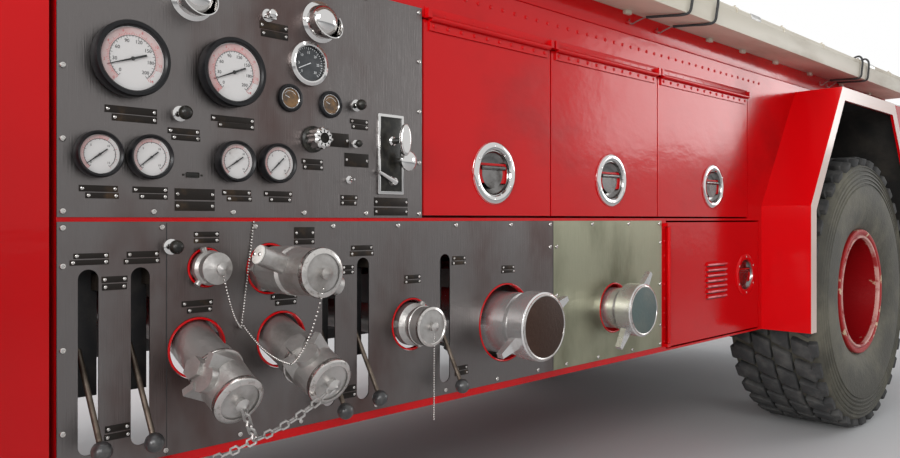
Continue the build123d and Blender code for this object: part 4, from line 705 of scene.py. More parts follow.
cases = bmesh.new()
dials = bmesh.new()
bands = bmesh.new()
black_marks = bmesh.new()
red_marks = bmesh.new()
for x, z, radius, stand, points in pressure_gauges:
    place = on_panel(x, z)
    inner = radius * 0.84
    face = stand - dial_depth
    wall = [(0, 0), (radius * 0.95, 0), (radius * 0.97, 3), (radius, 6), (radius, stand - 4)]
    lip = [(radius - 2, stand), (inner + 3, stand), (inner, stand - 3), (inner, face), (0, face)]
    lathe(cases, wall + lip, 64, place)
    lathe(dials, [(0, face), (inner - 0.3, face), (inner - 0.3, face + 0.4), (0, face + 0.4)], 48, place)
    lift = face + 0.6
    large = radius > 50
    circle = inner * (0.72 if large else 0.78)
    band = bmesh.new()
    arc_band(band, circle, inner * 0.97, -20 if large else 60, scale_end, face + 0.42)
    stamp(bands, collect_mesh(band, "band"), place)
    marks = bmesh.new()
    arc_band(marks, circle - 0.5, circle + 0.3, scale_end - scale_sweep, scale_end, lift)
    steps = 36 if large else 16
    for step in range(steps + 1):
        angle = scale_end - scale_sweep * step / steps
        tick(marks, angle, circle - (4.5 if step % 4 == 0 else 2.5) * radius / 66, circle, 0.7, lift)
    words = ("0", "30", "60", "90", "120", "150", "180", "200") if large else ("0", "5", "10", "15")
    numerals(marks, words, circle * 0.78, radius * 0.13, 225, -45, lift)
    stamp(black_marks, collect_mesh(marks, "marks"), place)
    outer_marks = bmesh.new()
    for step in range(2 * steps + 1):
        angle = scale_end - scale_sweep * step / (2 * steps)
        reach = (6 if step % 4 == 0 else 3.5) * radius / 66
        tick(outer_marks, angle, circle + 1.2, circle + reach, 0.6, lift)
    if large:
        words = ("0", "2", "4", "6", "8", "10", "12", "14")
        numerals(outer_marks, words, inner * 0.88, radius * 0.10, 228, -48, lift)
    stamp(red_marks, collect_mesh(outer_marks, "outer_marks"), place)
    needle = bmesh.new()
    turn = swung(points, "Z")
    length = inner * 0.84
    boss = radius * 0.055
    along = turn @ at(length / 2, 0, 0) @ swung(90, "Y")
    bmesh.ops.create_cone(
        needle, cap_ends=True, segments=4, radius1=1.7 * mm, radius2=0.5 * mm, depth=length * mm, matrix=along
    )
    size = Matrix.Diagonal((inner * 0.42 * mm, boss * mm, 0.8 * mm, 1))
    bmesh.ops.create_cube(needle, size=1, matrix=turn @ at(-inner * 0.24, 0, 0) @ size)
    bmesh.ops.create_cone(
        needle, cap_ends=True, segments=20, radius1=boss * mm, radius2=radius * 0.045 * mm, depth=2.4 * mm
    )
    bmesh.ops.translate(needle, verts=needle.verts, vec=(0, 0, (lift + 2) * mm))
    stamp(black_marks, collect_mesh(needle, "needle"), place)

chrome_bezels = bmesh.new()
face_black = bmesh.new()
white_marks = bmesh.new()
place = on_panel(603, 1276)
bezel = [(37, 4), (37, 12), (40, 13), (46, 10), (47.5, 4), (47.5, 0), (36, 0), (36, 4)]
lathe(chrome_bezels, bezel, 64, place)
lathe(face_black, [(0, 3), (36.8, 3), (36.8, 3.6), (0, 3.6)], 48, place)
marks = bmesh.new()
for step in range(31):
    tick(marks, 225 - 270 * step / 30, 29 if step % 5 == 0 else 32, 35, 0.9, 3.9)
numerals(marks, ("0", "5", "10", "15", "20", "25", "30"), 23.5, 7.5, 225, -45, 3.9)
tick(marks, 205, -6, 27, 1.8, 4.4)
stamp(white_marks, collect_mesh(marks, "tach_marks"), place)
face_amber = bmesh.new()
for x, z in sight_gauges:
    place = on_panel(x, z)
    lathe(cases, [(21, 1), (22, 7), (24, 8), (28, 7), (29, 4), (29, 0), (20, 0), (20, 1)], 40, place)
    lathe(chrome_bezels, [(19.5, 1), (19.5, 5), (20.5, 6), (22, 5.5), (22, 1)], 40, place)
    lathe(face_amber, [(0, 1.2), (20, 1.2), (20, 2.0), (0, 2.4)], 32, place)
    marks = bmesh.new()
    tick(marks, 158, 2, 13, 1.3, 3.0)
    arc_band(marks, 14.5, 15.2, 30, 150, 2.6)
    stamp(white_marks, collect_mesh(marks, "sight_marks"), place)
gauge_cases = put(cases, "gauge_cases", black_case, "chassis")
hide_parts("pump_gauges")
for parts, name, paint in (
    (dials, "gauge_dials", dial_white), (bands, "gauge_scale_bands", dial_pink),
    (black_marks, "gauge_marks", ink_black), (red_marks, "gauge_outer_marks", ink_red),
    (face_black, "tachometer_face", dial_black), (white_marks, "gauge_white_marks", ink_white),
    (face_amber, "sight_gauge_faces", amber),
):
    put(parts, name, paint, "chassis")
put(chrome_bezels, "gauge_bezels", chrome, "chassis")

# Outlets and suction inlets: cast aluminium fittings that come through round holes in the panel, whose inner
# edge is painted red; the suction inlets take a paler copy of the same aluminium as a painted highlight. Each
# suction cap has its face painted, and rubbed at the foot.
cast_alloy = finish(
    "cast_aluminium", (0.43, 0.415, 0.40), (0.20, 0.185, 0.17), 0.30, metallic=0.75, scale=9,
    spread=(0.42, 0.78), bump=0.0012, bump_scale=75, rough_range=0.22,
)
dress(["discharge_outlets"], cast_alloy)
# A paler copy of the outlets' cast aluminium for the suction inlets: painted highlight.
inlet_alloy_lit_copy = finish(
    "aluminium_lit_copy", (0.66, 0.65, 0.64), (0.40, 0.385, 0.37), 0.20, metallic=0.85, scale=7,
    spread=(0.45, 0.8), bump=0.0008, bump_scale=70, bump_stretch=(1, 6, 1), rough_range=0.2,
)
dress(["suction_inlets"], inlet_alloy_lit_copy)
brown_face = finish(
    "brown_cap_face", (0.030, 0.012, 0.006), (0.060, 0.030, 0.020), 0.55, gloss=0.25, scale=11,
    spread=(0.5, 0.8), bump=0.001, bump_scale=120,
)
green_face = finish(
    "grey_green_cap_face", (0.085, 0.115, 0.11), (0.13, 0.14, 0.12), 0.5, gloss=0.25, scale=10,
    spread=(0.45, 0.8), bump=0.001, bump_scale=120,
)
# Each hole: x, z, radius, side
panel_holes = (
    (848, 709, 58.5, 1), (665.5, 706, 58.5, 1), (830, 859, 38.5, 1), (694, 851, 52.5, 1), (310, 703, 62.5, 1),
    (-26, 676, 105, 1), (-538, 674, 79, 1), (848, 709, 58.5, -1), (310, 706, 58.5, -1), (-26, 676, 105, -1),
)
hole_rims = bmesh.new()
for x, z, radius, side in panel_holes:
    edge = [(radius - 5, -12), (radius - 1, -12), (radius - 1, 0.6), (radius - 3, 1.4), (radius - 5, 0.6)]
    lathe(hole_rims, edge + edge[:1], 56, facing(x, side * panel_face, z, side))
put(hole_rims, "hole_rims", enamel, "chassis")
# Each suction cap: x, z, cap radius, reach, side, paint, name
for x, z, radius, reach, side, paint, name in (
    (-26, 676, 88.5, 131, 1, brown_face, "suction_face_front"),
    (-538, 674, 80, 106, 1, green_face, "suction_face_rear"),
    (-26, 676, 88.5, 131, -1, brown_face, "suction_face_right"),
):
    place = facing(x, side * panel_face, z, side)
    dish = [(0, reach + 0.3), (radius - 10, reach + 0.3), (radius - 9, reach + 1.2)]
    dish += [(radius - 12, reach + 2.4), (0, reach + 2.8)]
    put_one(name, turned("dish", dish, steps=64), place, paint, "chassis")
    lip = [(radius - 11, reach), (radius - 4, reach), (radius - 4.5, reach + 2), (radius - 7, reach + 3.2)]
    lip += [(radius - 10, reach + 2.2), (radius - 11, reach)]
    put_one(f"{name}_lip", turned("lip", lip, steps=64), place, bright_steel, "chassis")

# Outlet trim: bright turned edges round the domes of the discharge caps, the valve and the middle cap, and a
# bead round each discharge body; the valve's cross bar ends in a white disc held by two screws.
fittings = bmesh.new()
whites = bmesh.new()
for x, z, reach, fall, side in (
    (848, 709, 155, 74, 1), (665.5, 706, 169, 63, 1), (848, 709, 155, 74, -1), (310, 706, 155, 74, -1)
):
    base = Vector((x, side * panel_face, z))
    tip = Vector((x, side * (panel_face + reach), z - fall))
    aim = (tip - base).to_track_quat("Z", "Y").to_matrix().to_4x4()
    place = Matrix.Translation(tip * mm) @ aim
    rim = [(44, -12), (46.5, -10), (47.5, -5), (46.5, 0), (42, 3.4), (36, 4.2), (36, 2), (44, -1), (44, -12)]
    lathe(fittings, rim, 56, place)
    lathe(fittings, [(46, -92), (50.5, -91), (51.2, -88.5), (50.5, -86), (46, -85), (46, -92)], 48, place)
valve_rim = [(44, 170), (46.5, 172), (47.5, 178), (46, 184), (40, 187), (36, 187), (44, 183), (44, 170)]
lathe(fittings, valve_rim, 56, on_panel(694, 851))
middle_place = on_panel(310, 703)
lathe(fittings, [(44, 34), (46.5, 36), (46.5, 40), (44, 42), (44, 34)], 56, middle_place)
lathe(fittings, [(43, 62), (46, 64), (45.5, 70), (40, 72), (38, 70), (43, 62)], 56, middle_place)
cross_place = at(694, panel_face + 112, 851) @ swung(90 - 21, "Y")
lathe(whites, [(0, 95.2), (17.5, 95.2), (18.5, 97), (18, 99), (15, 100.5), (0, 100.8)], 32, cross_place)
for way in (1, -1):
    stamp(fittings, latch_screw, cross_place @ at(0, way * 9, 100.4))
put(fittings, "outlet_trim", bright_steel, "chassis")
nylon = finish("white_nylon", (0.62, 0.61, 0.57), (0.40, 0.38, 0.34), 0.45, scale=60, spread=(0.5, 0.8))
put(whites, "valve_bar_end", nylon, "chassis")

# Bead chains: small plated balls on a wire that keep the caps from being lost. They hang from an eye on
# the panel to the knob of the small outlet, and from the middle cap straight down.
chain_bead = bmesh.new()
bmesh.ops.create_icosphere(chain_bead, subdivisions=1, radius=2.6 * mm)
chain_bead = collect_mesh(chain_bead, "chain_bead")
bead_pitch = 5.6
# Each run: its start, its end, and how far it sags in the middle
bead_runs = (
    ((731, 1055, 945), (761, 1060, 738), 3),
    ((761, 1060, 738), (826, 1112, 845), 16),
    ((304, 1123, 703), (295, 1113, 486), 2),
    ((694, 1240, 822), (757, 1230, 690), 26),
    ((757, 1230, 690), (757, 1062, 742), 14),
)
beads = bmesh.new()
for start, end, sag in bead_runs:
    start, end = Vector(start), Vector(end)
    count = round((end - start).length / bead_pitch)
    for step in range(count + 1):
        share = step / count
        spot = start.lerp(end, share) - Vector((0, 0, 4 * sag * share * (1 - share)))
        stamp(beads, chain_bead, Matrix.Translation(spot * mm))
put(beads, "bead_chains", bright_steel, "chassis", sharp=80)

# Small controls of the gauge panel: chromed hooded lamps over the dials, a fluted throttle, a drain cock,
# ball knobs on bright stems, a toggle, and a framed plate with an oval pull, a round knob and a pointer.
visor_radius = 36


def new_verts(grown):
    """Give the corners that an extrusion has made."""
    return [item for item in grown["geom"] if isinstance(item, bmesh.types.BMVert)]


def raised(bm, vec):
    """Draw all faces out along a way in millimetres and return what the extrusion has made."""
    grown = bmesh.ops.extrude_face_region(bm, geom=bm.faces[:])
    bmesh.ops.translate(bm, verts=new_verts(grown), vec=Vector(vec) * mm)
    return grown


controls = bmesh.new()
black_parts = bmesh.new()
dome = [(44, 3), (40, 5), (35, 7), (34, 16), (30, 26), (22, 33), (10, 37), (0, 38)]
lamp_dome = turned("lamp_dome", [(0, 0), (44, 0), *dome], steps=48)
for x, z in ((859, 1364), (573, 1369)):
    place = on_panel(x, z)
    stamp(controls, lamp_dome, place)
    for way in (1, -1):
        stamp(controls, latch_screw, place @ at(way * 39.5, 0, 4))
    visor = bmesh.new()
    foot = Vector((visor_radius * mm, 0, 6 * mm))
    lip = [visor.verts.new(swung(turn, "Z") @ foot) for turn in range(-200, 21, 10)]
    edges = [visor.edges.new(pair) for pair in zip(lip, lip[1:])]
    grown = bmesh.ops.extrude_edge_only(visor, edges=edges)
    for vert in new_verts(grown):
        reach = 0.5 - 0.5 * vert.co.y / (visor_radius * mm)
        vert.co += Vector((0, -6 * mm * reach, (10 + 34 * reach) * mm))
    bmesh.ops.recalc_face_normals(visor, faces=visor.faces)
    bmesh.ops.solidify(visor, geom=visor.faces[:], thickness=2 * mm)
    stamp(controls, collect_mesh(visor, "visor"), place)
barrel = bmesh.new()
made = bmesh.ops.create_circle(barrel, cap_ends=True, segments=40, radius=23 * mm)
for order, vert in enumerate(made["verts"]):
    vert.co *= 1 if order % 4 < 2 else 0.9
end = [item for item in raised(barrel, (0, 0, 40))["geom"] if isinstance(item, bmesh.types.BMFace)]
bmesh.ops.inset_region(barrel, faces=end, thickness=4 * mm, depth=4 * mm)
bmesh.ops.inset_region(barrel, faces=end, thickness=6 * mm, depth=0)
bmesh.ops.inset_region(barrel, faces=end, thickness=1 * mm, depth=-18 * mm)
place = on_panel(590, 1119)
stamp(controls, collect_mesh(barrel, "throttle"), place)
lathe(black_parts, [(0, 27), (11.5, 27), (11.5, 29), (0, 29)], 24, place)
lathe(black_parts, [(0, 0), (28, 0), (28, 4), (26, 6), (24, 8), (0, 8)], 32, place)
cock = [(0, 0), (13, 0), (13, 3), (8, 5), (7, 18), (9, 20), (9, 24), (4, 27), (0, 27)]
lathe(controls, cock, 24, on_panel(699, 1360))
add_box(controls, (688, panel_face + 12, 1350), (710, panel_face + 17, 1356), 1.5)


def ball_section(radius, turns, lift=0.0):
    """Give the section of a ball that is cut flat at its foot, from angles counted from the top."""
    angles = [math.radians(turn) for turn in turns]
    curve = [(radius * math.sin(angle), lift - radius * math.cos(angle)) for angle in angles]
    return [(0, curve[0][1]), *curve]


# Each knob: x, z, ball radius, stand
for x, z, radius, stand in ((883, 1145, 13, 24), (476, 1202, 12, 20), (900, 900, 13, 24), (478, 1117, 8, 14)):
    place = on_panel(x, z)
    top = stand - radius * 0.8
    stem = [(0, 0), (radius * 1.1, 0), (radius * 1.1, 2.5), (radius * 0.42, 5), (radius * 0.4, top), (0, top)]
    lathe(controls, stem, 20, place)
    lathe(black_parts, ball_section(radius, range(30, 181, 15), stand), 28, place)
toggle = [(0, 0), (8.5, 0), (8.5, 3), (5, 5), (3, 6), (2.2, 16), (3.6, 19), (2.4, 21.5), (0, 22)]
lathe(controls, toggle, 20, on_panel(496, 1037))
slot_plate = bmesh.new()
add_box(slot_plate, (845, panel_face, 1028), (871, panel_face + 1, 1038), 2)
add_box(slot_plate, (838, panel_face, 1031), (842, panel_face + 2, 1035), 1)
add_box(slot_plate, (874, panel_face, 1031), (878, panel_face + 2, 1035), 1)
stamp(black_parts, collect_mesh(slot_plate, "selector"), Matrix.Identity(4))
plate_frame = bmesh.new()
add_box(plate_frame, (338, panel_face, 1007), (416, panel_face + 5, 1192), 3)
front = [face for face in plate_frame.faces if face.normal.y > 0.99]
bmesh.ops.inset_region(plate_frame, faces=front, thickness=6 * mm, depth=0)
bmesh.ops.inset_region(plate_frame, faces=front, thickness=1 * mm, depth=-2.5 * mm)
stamp(controls, collect_mesh(plate_frame, "plate_frame"), Matrix.Identity(4))
add_box(black_parts, (346, panel_face + 2, 1015), (408, panel_face + 3.2, 1184), 0.4)
pull = bmesh.new()
made = bmesh.ops.create_circle(pull, cap_ends=True, segments=40, radius=36 * mm)
for vert in made["verts"]:
    vert.co.x *= 0.42
bmesh.ops.translate(pull, verts=pull.verts, vec=(0, 0, 42 * mm))
bmesh.ops.recalc_face_normals(pull, faces=pull.faces)
raised(pull, (0, 0, 12))
ease(pull, [edge for edge in pull.edges if edge.calc_face_angle(0) > 1.2], 4, segments=4)
place = on_panel(373, 1130)
stamp(controls, collect_mesh(pull, "pull"), place)
lathe(controls, [(0, 3), (11, 3), (11, 6), (7, 9), (6.5, 44), (0, 44)], 24, place)
round_knob = [(0, 3), (9, 3), (8, 14), (20, 21), (23.5, 26), (23, 31), (18, 35), (0, 37)]
lathe(controls, round_knob, 32, on_panel(346, 1085))
pointer = bmesh.new()
for segments, foot, tip, length, aim in (
    (12, 7.5, 3.5, 56, at(14, 0, 9) @ swung(90, "Y")), (20, 11, 8, 10, at(-8, 0, 8))
):
    bmesh.ops.create_cone(
        pointer, cap_ends=True, segments=segments, radius1=foot * mm, radius2=tip * mm, depth=length * mm,
        matrix=aim,
    )
stamp(controls, collect_mesh(pointer, "pointer"), on_panel(380, 1041) @ swung(155, "Z"))
small_controls = put(controls, "small_controls", chrome, "chassis")
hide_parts("panel_controls")
olive_black = finish(
    "olive_black_knobs", (0.010, 0.0095, 0.008), (0.030, 0.028, 0.022), 0.3, gloss=0.3, scale=60
)
put(black_parts, "control_knobs", olive_black, "chassis")

# Hand levers: steel rods that come out of the dark slots and slant down to a moulded black ball; a black
# apron behind each slot, painted shade for the space there, hides the plumbing down to a hand's width above
# its foot.
lever_steel = finish(
    "lever_steel", (0.155, 0.125, 0.10), (0.075, 0.058, 0.045), 0.42, metallic=0.9, scale=28,
    spread=(0.35, 0.7), bump=0.0006, bump_scale=160, rough_range=0.2,
)
ball_black = finish("lever_ball", (0.030, 0.030, 0.031), (0.075, 0.072, 0.068), 0.34, coat=0.25, scale=45)
dress(["hand_levers"], lever_steel)
balls = bmesh.new()
lever_ball = turned("lever_ball", ball_section(17.4, range(35, 181, 12)), steps=36)
shade_apron = bmesh.new()
# Each lever: x, and how much lower than the first its ball hangs
for x, drop in ((1045, 0), (956, -3), (549, -19), (456, -7), (201, -19)):
    stamp(balls, lever_ball, facing(x, panel_face + 60, 568 + drop) @ swung(55, "X"))
    # Black apron behind the slot: painted shade.
    add_box(shade_apron, (x - 30, 1006, 640), (x + 30, 1009, 884), 1)
put(balls, "lever_balls", ball_black, "chassis")
put(shade_apron, "slot_shade_aprons", dark, "chassis")

# Wheels: pressed steel rims, painted red over an old cream coat that shows in chips round the flange, with
# greasy nuts and hub bolts, and tall cross-country tyres moulded with four staggered rows of slanted blocks.
wheel_radius = 620
wheel_centres = {
    "rear_left": (-2318, 1035, 1), "rear_right": (-2318, -1035, -1),
    "front_left": (2182, 1035, 1), "front_right": (2182, -1035, -1),
}
rim_paint = finish(
    "rim_red", (0.27, 0.003, 0.005), (0.50, 0.30, 0.20), 0.36, gloss=0.3, scale=9, spread=(0.66, 0.70),
    bump=0.0012, bump_scale=70, rough_range=0.2,
)
flange_paint = finish(
    "rim_flange", (0.34, 0.010, 0.010), (0.60, 0.46, 0.30), 0.4, gloss=0.3, scale=16, spread=(0.60, 0.66),
    bump=0.001, bump_scale=90,
)
primer_pink = finish(
    "rubbed_primer", (0.58, 0.30, 0.26), (0.34, 0.03, 0.03), 0.35, gloss=0.3, scale=14, spread=(0.45, 0.65)
)
nut_steel = finish(
    "greasy_nuts", (0.16, 0.135, 0.11), (0.07, 0.05, 0.04), 0.4, metallic=0.85, scale=40, spread=(0.4, 0.7)
)
rubber = finish(
    "dry_rubber", (0.050, 0.047, 0.036), (0.150, 0.140, 0.105), 0.6, gloss=0.4, scale=3.2,
    spread=(0.40, 0.72), bump=0.0025, bump_scale=60, rough_range=0.12,
)
tread_rubber = finish(
    "tread_rubber", (0.040, 0.040, 0.040), (0.085, 0.083, 0.078), 0.8, gloss=0.25, scale=14,
    spread=(0.4, 0.75), bump=0.003, bump_scale=40,
)


def wheel_place(x, y, z, side):
    """Give the place of a wheel whose own Z points outward along the axle."""
    return at(x, y, z) @ swung(-90 * side, "X")


def bolt_ring(bm, bolt, place, count, radius, lift):
    """Stamp a ring of bolts round a place's own Z."""
    for step in range(count):
        spin = Matrix.Rotation(math.tau * step / count, 4, "Z")
        stamp(bm, bolt, place @ spin @ at(radius, 0, lift))


# Half of the carcass from the bead outward, radius and height, then the crown, then the inner half
side_half = [(287, 159), (300, 171), (330, 184), (362, 193), (400, 198.5), (440, 200), (470, 199.6)]
widest_half, widest_radius, shoulder_run, shoulder_drop, groove_depth = 199.6, 470, 110, 12, 4.6
for ring_radius in (489, 508, 527, 546, 563):
    swell = widest_half - ((ring_radius - widest_radius) / shoulder_run) ** 2 * shoulder_drop
    side_half += [(ring_radius - 7, swell), (ring_radius - 4, swell - groove_depth)]
    side_half += [(ring_radius + 3, swell - groove_depth), (ring_radius + 6, swell)]
side_half += [(574, 187), (581, 178), (584, 166), (585, 100), (597, 78)]
carcass_section = side_half + [(radius, -height) for radius, height in reversed(side_half)]
carcass = turned("carcass", carcass_section + [(262, -150), (262, 150), (287, 159)], steps=96)
tread_slant = 0.45


def slanted_block(name, low, high, bevel):
    """Make a tread block whose sides lean across the tyre."""
    bm = bmesh.new()
    add_box(bm, low, high, bevel)
    middle = (low[1] + high[1]) / 2 * mm
    for vert in bm.verts:
        vert.co.x += (vert.co.y - middle) * tread_slant
    return collect_mesh(bm, name)


tread_block = slanted_block("tread_block", (-42, -36, 588), (42, 36, 617.4), 5)
outer_block = slanted_block("outer_block", (-33, 87, 578), (33, 164, 617.4), 5)
lug = bmesh.new()
add_box(lug, (-31, 148, 556), (31, 184, 613), 7)
bmesh.ops.rotate(lug, verts=lug.verts, cent=(0, 0.166, 0.585), matrix=swung(-14, "X").to_3x3())
shoulder_lug = collect_mesh(lug, "shoulder_lug")
pitch_count, inner_row = 36, 41
tread = bmesh.new()
for step in range(pitch_count):
    for way in (1, -1):
        turn = 360 / pitch_count
        inner = swung((step + (0 if way > 0 else 0.5)) * turn, "Y")
        stamp(tread, tread_block, inner @ at(0, way * inner_row, 0))
        outer = swung((step + (0.5 if way > 0 else 0)) * turn, "Y") @ swung(0 if way > 0 else 180, "Z")
        stamp(tread, outer_block, outer)
        stamp(tread, shoulder_lug, outer)
bmesh.ops.rotate(tread, verts=tread.verts, cent=(0, 0, 0), matrix=swung(-90, "X").to_3x3())
tread_ring = collect_mesh(tread, "tread_ring")
flange_section = [(262, 160), (262, 172), (266, 177), (273, 179), (280, 178), (284, 174)]
flange_section += [(284.6, 168), (284.6, 160), (262, 160)]
flange_ring = turned("flange_ring", flange_section, steps=80)
lock_section = [(245, 160), (244.6, 171), (246, 175.5), (250, 177.5), (254, 177), (257, 173), (257.5, 160)]
lock_ring = turned("lock_ring", [*lock_section, (245, 160)], steps=80)
hub_bolt = turned("hub_bolt", [(0, 0), (9, 0), (9, 7), (7, 9), (0, 9)], steps=6)
nut_section = [(0, 0), (17, 0), (17, 14), (13, 17), (9, 17), (9, 26), (6, 29), (0, 29)]
wheel_nut = turned("wheel_nut", nut_section, steps=6)
for word, (x, y, side) in wheel_centres.items():
    body = f"wheel_{word}"
    place = wheel_place(x, y, wheel_radius, side)
    carcass_piece = put_one(f"tyre_carcass_{word}", carcass, place, rubber, body, 30)
    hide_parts(f"tyre_{word}")
    put_one(f"tyre_tread_{word}", tread_ring, place, tread_rubber, body, 30)
    dress([f"rim_{word}"], rim_paint)
    put_one(f"rim_flange_{word}", flange_ring, place, flange_paint, body)
    put_one(f"rim_lock_ring_{word}", lock_ring, place, primer_pink, body)
    nuts = bmesh.new()
    bolt_ring(nuts, wheel_nut, place, count=10, radius=190, lift=-80)
    bolt_ring(nuts, hub_bolt, place, count=8, radius=94, lift=52)
    put(nuts, f"wheel_nuts_{word}", nut_steel, body)

# Ladder tray: a folded rail along the deck edge, painted cream like the pole that lies on top of it, with the
# ladder of brushed aluminium laid behind it on the deck.
cream = finish(
    "cream_paint", (0.60, 0.55, 0.45), (0.42, 0.36, 0.28), 0.42, gloss=0.35, scale=5, stretch=(0.3, 1, 1),
    spread=(0.42, 0.75), bump=0.0008, bump_scale=30, rough_range=0.15,
)
ladder_alloy = finish(
    "ladder_aluminium", (0.52, 0.52, 0.51), (0.34, 0.335, 0.325), 0.36, metallic=1.0, scale=7, bump=0.0005,
    bump_scale=40, bump_stretch=(0.3, 9, 9), rough_range=0.16,
)
dress(["pike_pole"], cream)
tray_ends = (-3200, 750)
tray_skin = bmesh.new()
section = [(1050, 1615), (1181, 1615), (1181, 1682), (1171, 1682), (1171, 1678), (1177, 1678)]
section += [(1177, 1619), (1050, 1619)]
tray_skin.faces.new([tray_skin.verts.new((tray_ends[0] * mm, y * mm, z * mm)) for y, z in section])
raised(tray_skin, (tray_ends[1] - tray_ends[0], 0, 0))
bmesh.ops.recalc_face_normals(tray_skin, faces=tray_skin.faces)
ease(tray_skin, tray_skin.edges[:], 0.8)
tray = put(tray_skin, "tray_rail", cream, "chassis")
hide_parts("ladder_tray")

# Tray angle: a steel strip bolted along the body's upper edge and painted with it, that carries the rail on
# pale packing lugs.
tray_angle = bmesh.new()
add_box(tray_angle, (tray_ends[0], 1050, 1545), (tray_ends[1], 1054, 1615), 0.8)
lugs = bmesh.new()
for x in (-2900, -2500, -2100, -1727, -1418, -1147, -600, -200, 200, 600):
    add_box(lugs, (x - 16, 1054, 1603), (x + 16, 1068, 1616), 2)
put(lugs, "tray_lugs", cream, "chassis")
put(tray_angle, "tray_angle", enamel, "chassis")
dress(["ladder"], ladder_alloy)

# Pole clips: sprung steel bands, painted with the tray and held by one screw each, and bright sleeves where
# the pole's lengths are joined.
clips = bmesh.new()
clip_band = turned("clip_band", [(18.2, -9), (21, -9), (21, 9), (18.2, 9), (18.2, -9)], steps=32)
clip_foot = bmesh.new()
add_box(clip_foot, (-14, -24, -9), (14, -18, 9), 1.5)
clip_foot_mesh = collect_mesh(clip_foot, "clip_foot")
pole_y, pole_z, clip_top_z = 1150, 1695, 1717
for x in (-2900, -2440, -1980, -1560, -1150, -740, -330, 80, 490):
    place = at(x, pole_y, pole_z) @ swung(90, "Y") @ swung(90, "Z")
    stamp(clips, clip_band, place)
    stamp(clips, clip_foot_mesh, place)
    stamp(clips, latch_screw, at(x, pole_y + 6, clip_top_z))
put(clips, "pole_clips", cream, "chassis")
joints = bmesh.new()
for x in (-2600, -1300, 0):
    sleeve = [(18.1, -40), (20.5, -38), (20.5, 38), (18.1, 40), (18.1, -40)]
    lathe(joints, sleeve, 32, at(x, pole_y, pole_z) @ swung(90, "Y"))
put(joints, "pole_sleeves", ladder_alloy, "chassis")

# Shock cords: black braided rubber cords drawn over the pole from below the rail, each hooked with a bent
# wire into a red clip on the tray angle.
shock_black = finish(
    "shock_cord", (0.014, 0.014, 0.015), (0.04, 0.04, 0.04), 0.7, scale=260, spread=(0.45, 0.6),
    bump=0.0004, bump_scale=700,
)
red_clip = finish("red_clip", (0.50, 0.02, 0.02), (0.30, 0.02, 0.02), 0.4, gloss=0.4, scale=60)
wire = finish("hook_wire", (0.34, 0.33, 0.31), (0.14, 0.11, 0.09), 0.3, metallic=1.0, scale=90)


def tube(bm, points, radius, sides=3):
    """Sweep a round wire through points in millimetres."""
    curve = bpy.data.curves.new("route", "CURVE")
    curve.dimensions = "3D"
    curve.bevel_depth = radius * mm
    curve.bevel_resolution = sides
    curve.use_fill_caps = True
    curve.resolution_u = 6
    spline = curve.splines.new("NURBS")
    spline.points.add(len(points) - 1)
    for point, place in zip(spline.points, points):
        point.co = (*(Vector(place) * mm), 1)
    spline.order_u = 3
    spline.use_endpoint_u = True
    stamp(bm, curve_mesh(curve), Matrix.Identity(4))


cords = bmesh.new()
hooks = bmesh.new()
grips = bmesh.new()
for x in (-669, -839, -2284, -2374):
    under = [(x - 10, 1080, 1604), (x - 40, 1118, 1607), (x - 84, 1172, 1608), (x - 100, 1188, 1616)]
    over = [(x - 112, 1187, 1650), (x - 124, 1188, 1700), (x - 134, 1172, 1723), (x - 146, 1150, 1724)]
    back = [(x - 156, 1128, 1716), (x - 162, 1116, 1690), (x - 162, 1108, 1684)]
    tube(cords, under + over + back, 4.5)
    hook = [(x - 6, 1078, 1603), (x + 26, 1068, 1588), (x + 46, 1062, 1574), (x + 58, 1058, 1580)]
    tube(hooks, [*hook, (x + 50, 1057, 1592)], 1.9, 2)
    add_box(grips, (x + 42, 1054.5, 1576), (x + 66, 1062, 1583), 2)
put(cords, "shock_cords", shock_black, "chassis")
put(hooks, "cord_hooks", wire, "chassis")
put(grips, "cord_grips", red_clip, "chassis")

# Cab glass: clear toughened panes with a faint green cast and a film of dust, held in black rubber seals.
glass = finish(
    "window_glass", (0.86, 0.93, 0.90), (0.78, 0.84, 0.81), 0.03, scale=2.5, spread=(0.55, 0.9),
    rough_range=0.08,
)
glass_shader = glass.node_tree.nodes["Principled BSDF"]
glass_shader.inputs["Transmission Weight"].default_value = 1.0
glass_shader.inputs["IOR"].default_value = 1.2
dress(["cab_glass", "door_glass_left", "door_glass_right"], glass)
seal_rubber = finish(
    "seal_rubber", (0.014, 0.014, 0.014), (0.04, 0.038, 0.036), 0.6, scale=30, rough_range=0.1
)


def seal(bm, corners, width, thick, outward):
    """Add a frame of rubber round a flat opening: corners in order, mitred, raised along outward."""
    points = [Vector(corner) * mm for corner in corners]
    middle = sum(points, Vector()) / len(points)
    outer = [bm.verts.new(point + (point - middle).normalized() * width * mm) for point in points]
    inner = [bm.verts.new(point - (point - middle).normalized() * width * 0.6 * mm) for point in points]
    faces = []
    for order in range(len(points)):
        after = (order + 1) % len(points)
        faces.append(bm.faces.new((outer[order], outer[after], inner[after], inner[order])))
    grown = bmesh.ops.extrude_face_region(bm, geom=faces)
    bmesh.ops.translate(bm, verts=new_verts(grown), vec=Vector(outward) * thick * mm)
    bmesh.ops.recalc_face_normals(bm, faces=bm.faces)


seals = bmesh.new()
glass_y, sill_z, head_z = 1049, 1700, 2290
for side in (1, -1):
    for rear, front in ((1950, 2850), (1260, 1860)):
        around = ((rear, sill_z), (front, sill_z), (front, head_z), (rear, head_z))
        seal(seals, [(x, side * glass_y, z) for x, z in around], 16, 7, (0, side, 0))
screen_up = Vector((-260, 0, 940)).normalized()
screen_out = Vector((screen_up.z, 0, -screen_up.x))
screen_middle = Vector((3510, 0, 1950))
pane_corners = ((-450, -350), (450, -350), (450, 350), (-450, 350))
for y in (510, -510):
    centre = screen_middle + Vector((0, y, 0)) - screen_out * 1
    corners = [centre + Vector((0, across, 0)) + screen_up * along for across, along in pane_corners]
    seal(seals, corners, 18, 8, screen_out)
put(seals, "window_seals", seal_rubber, "chassis")

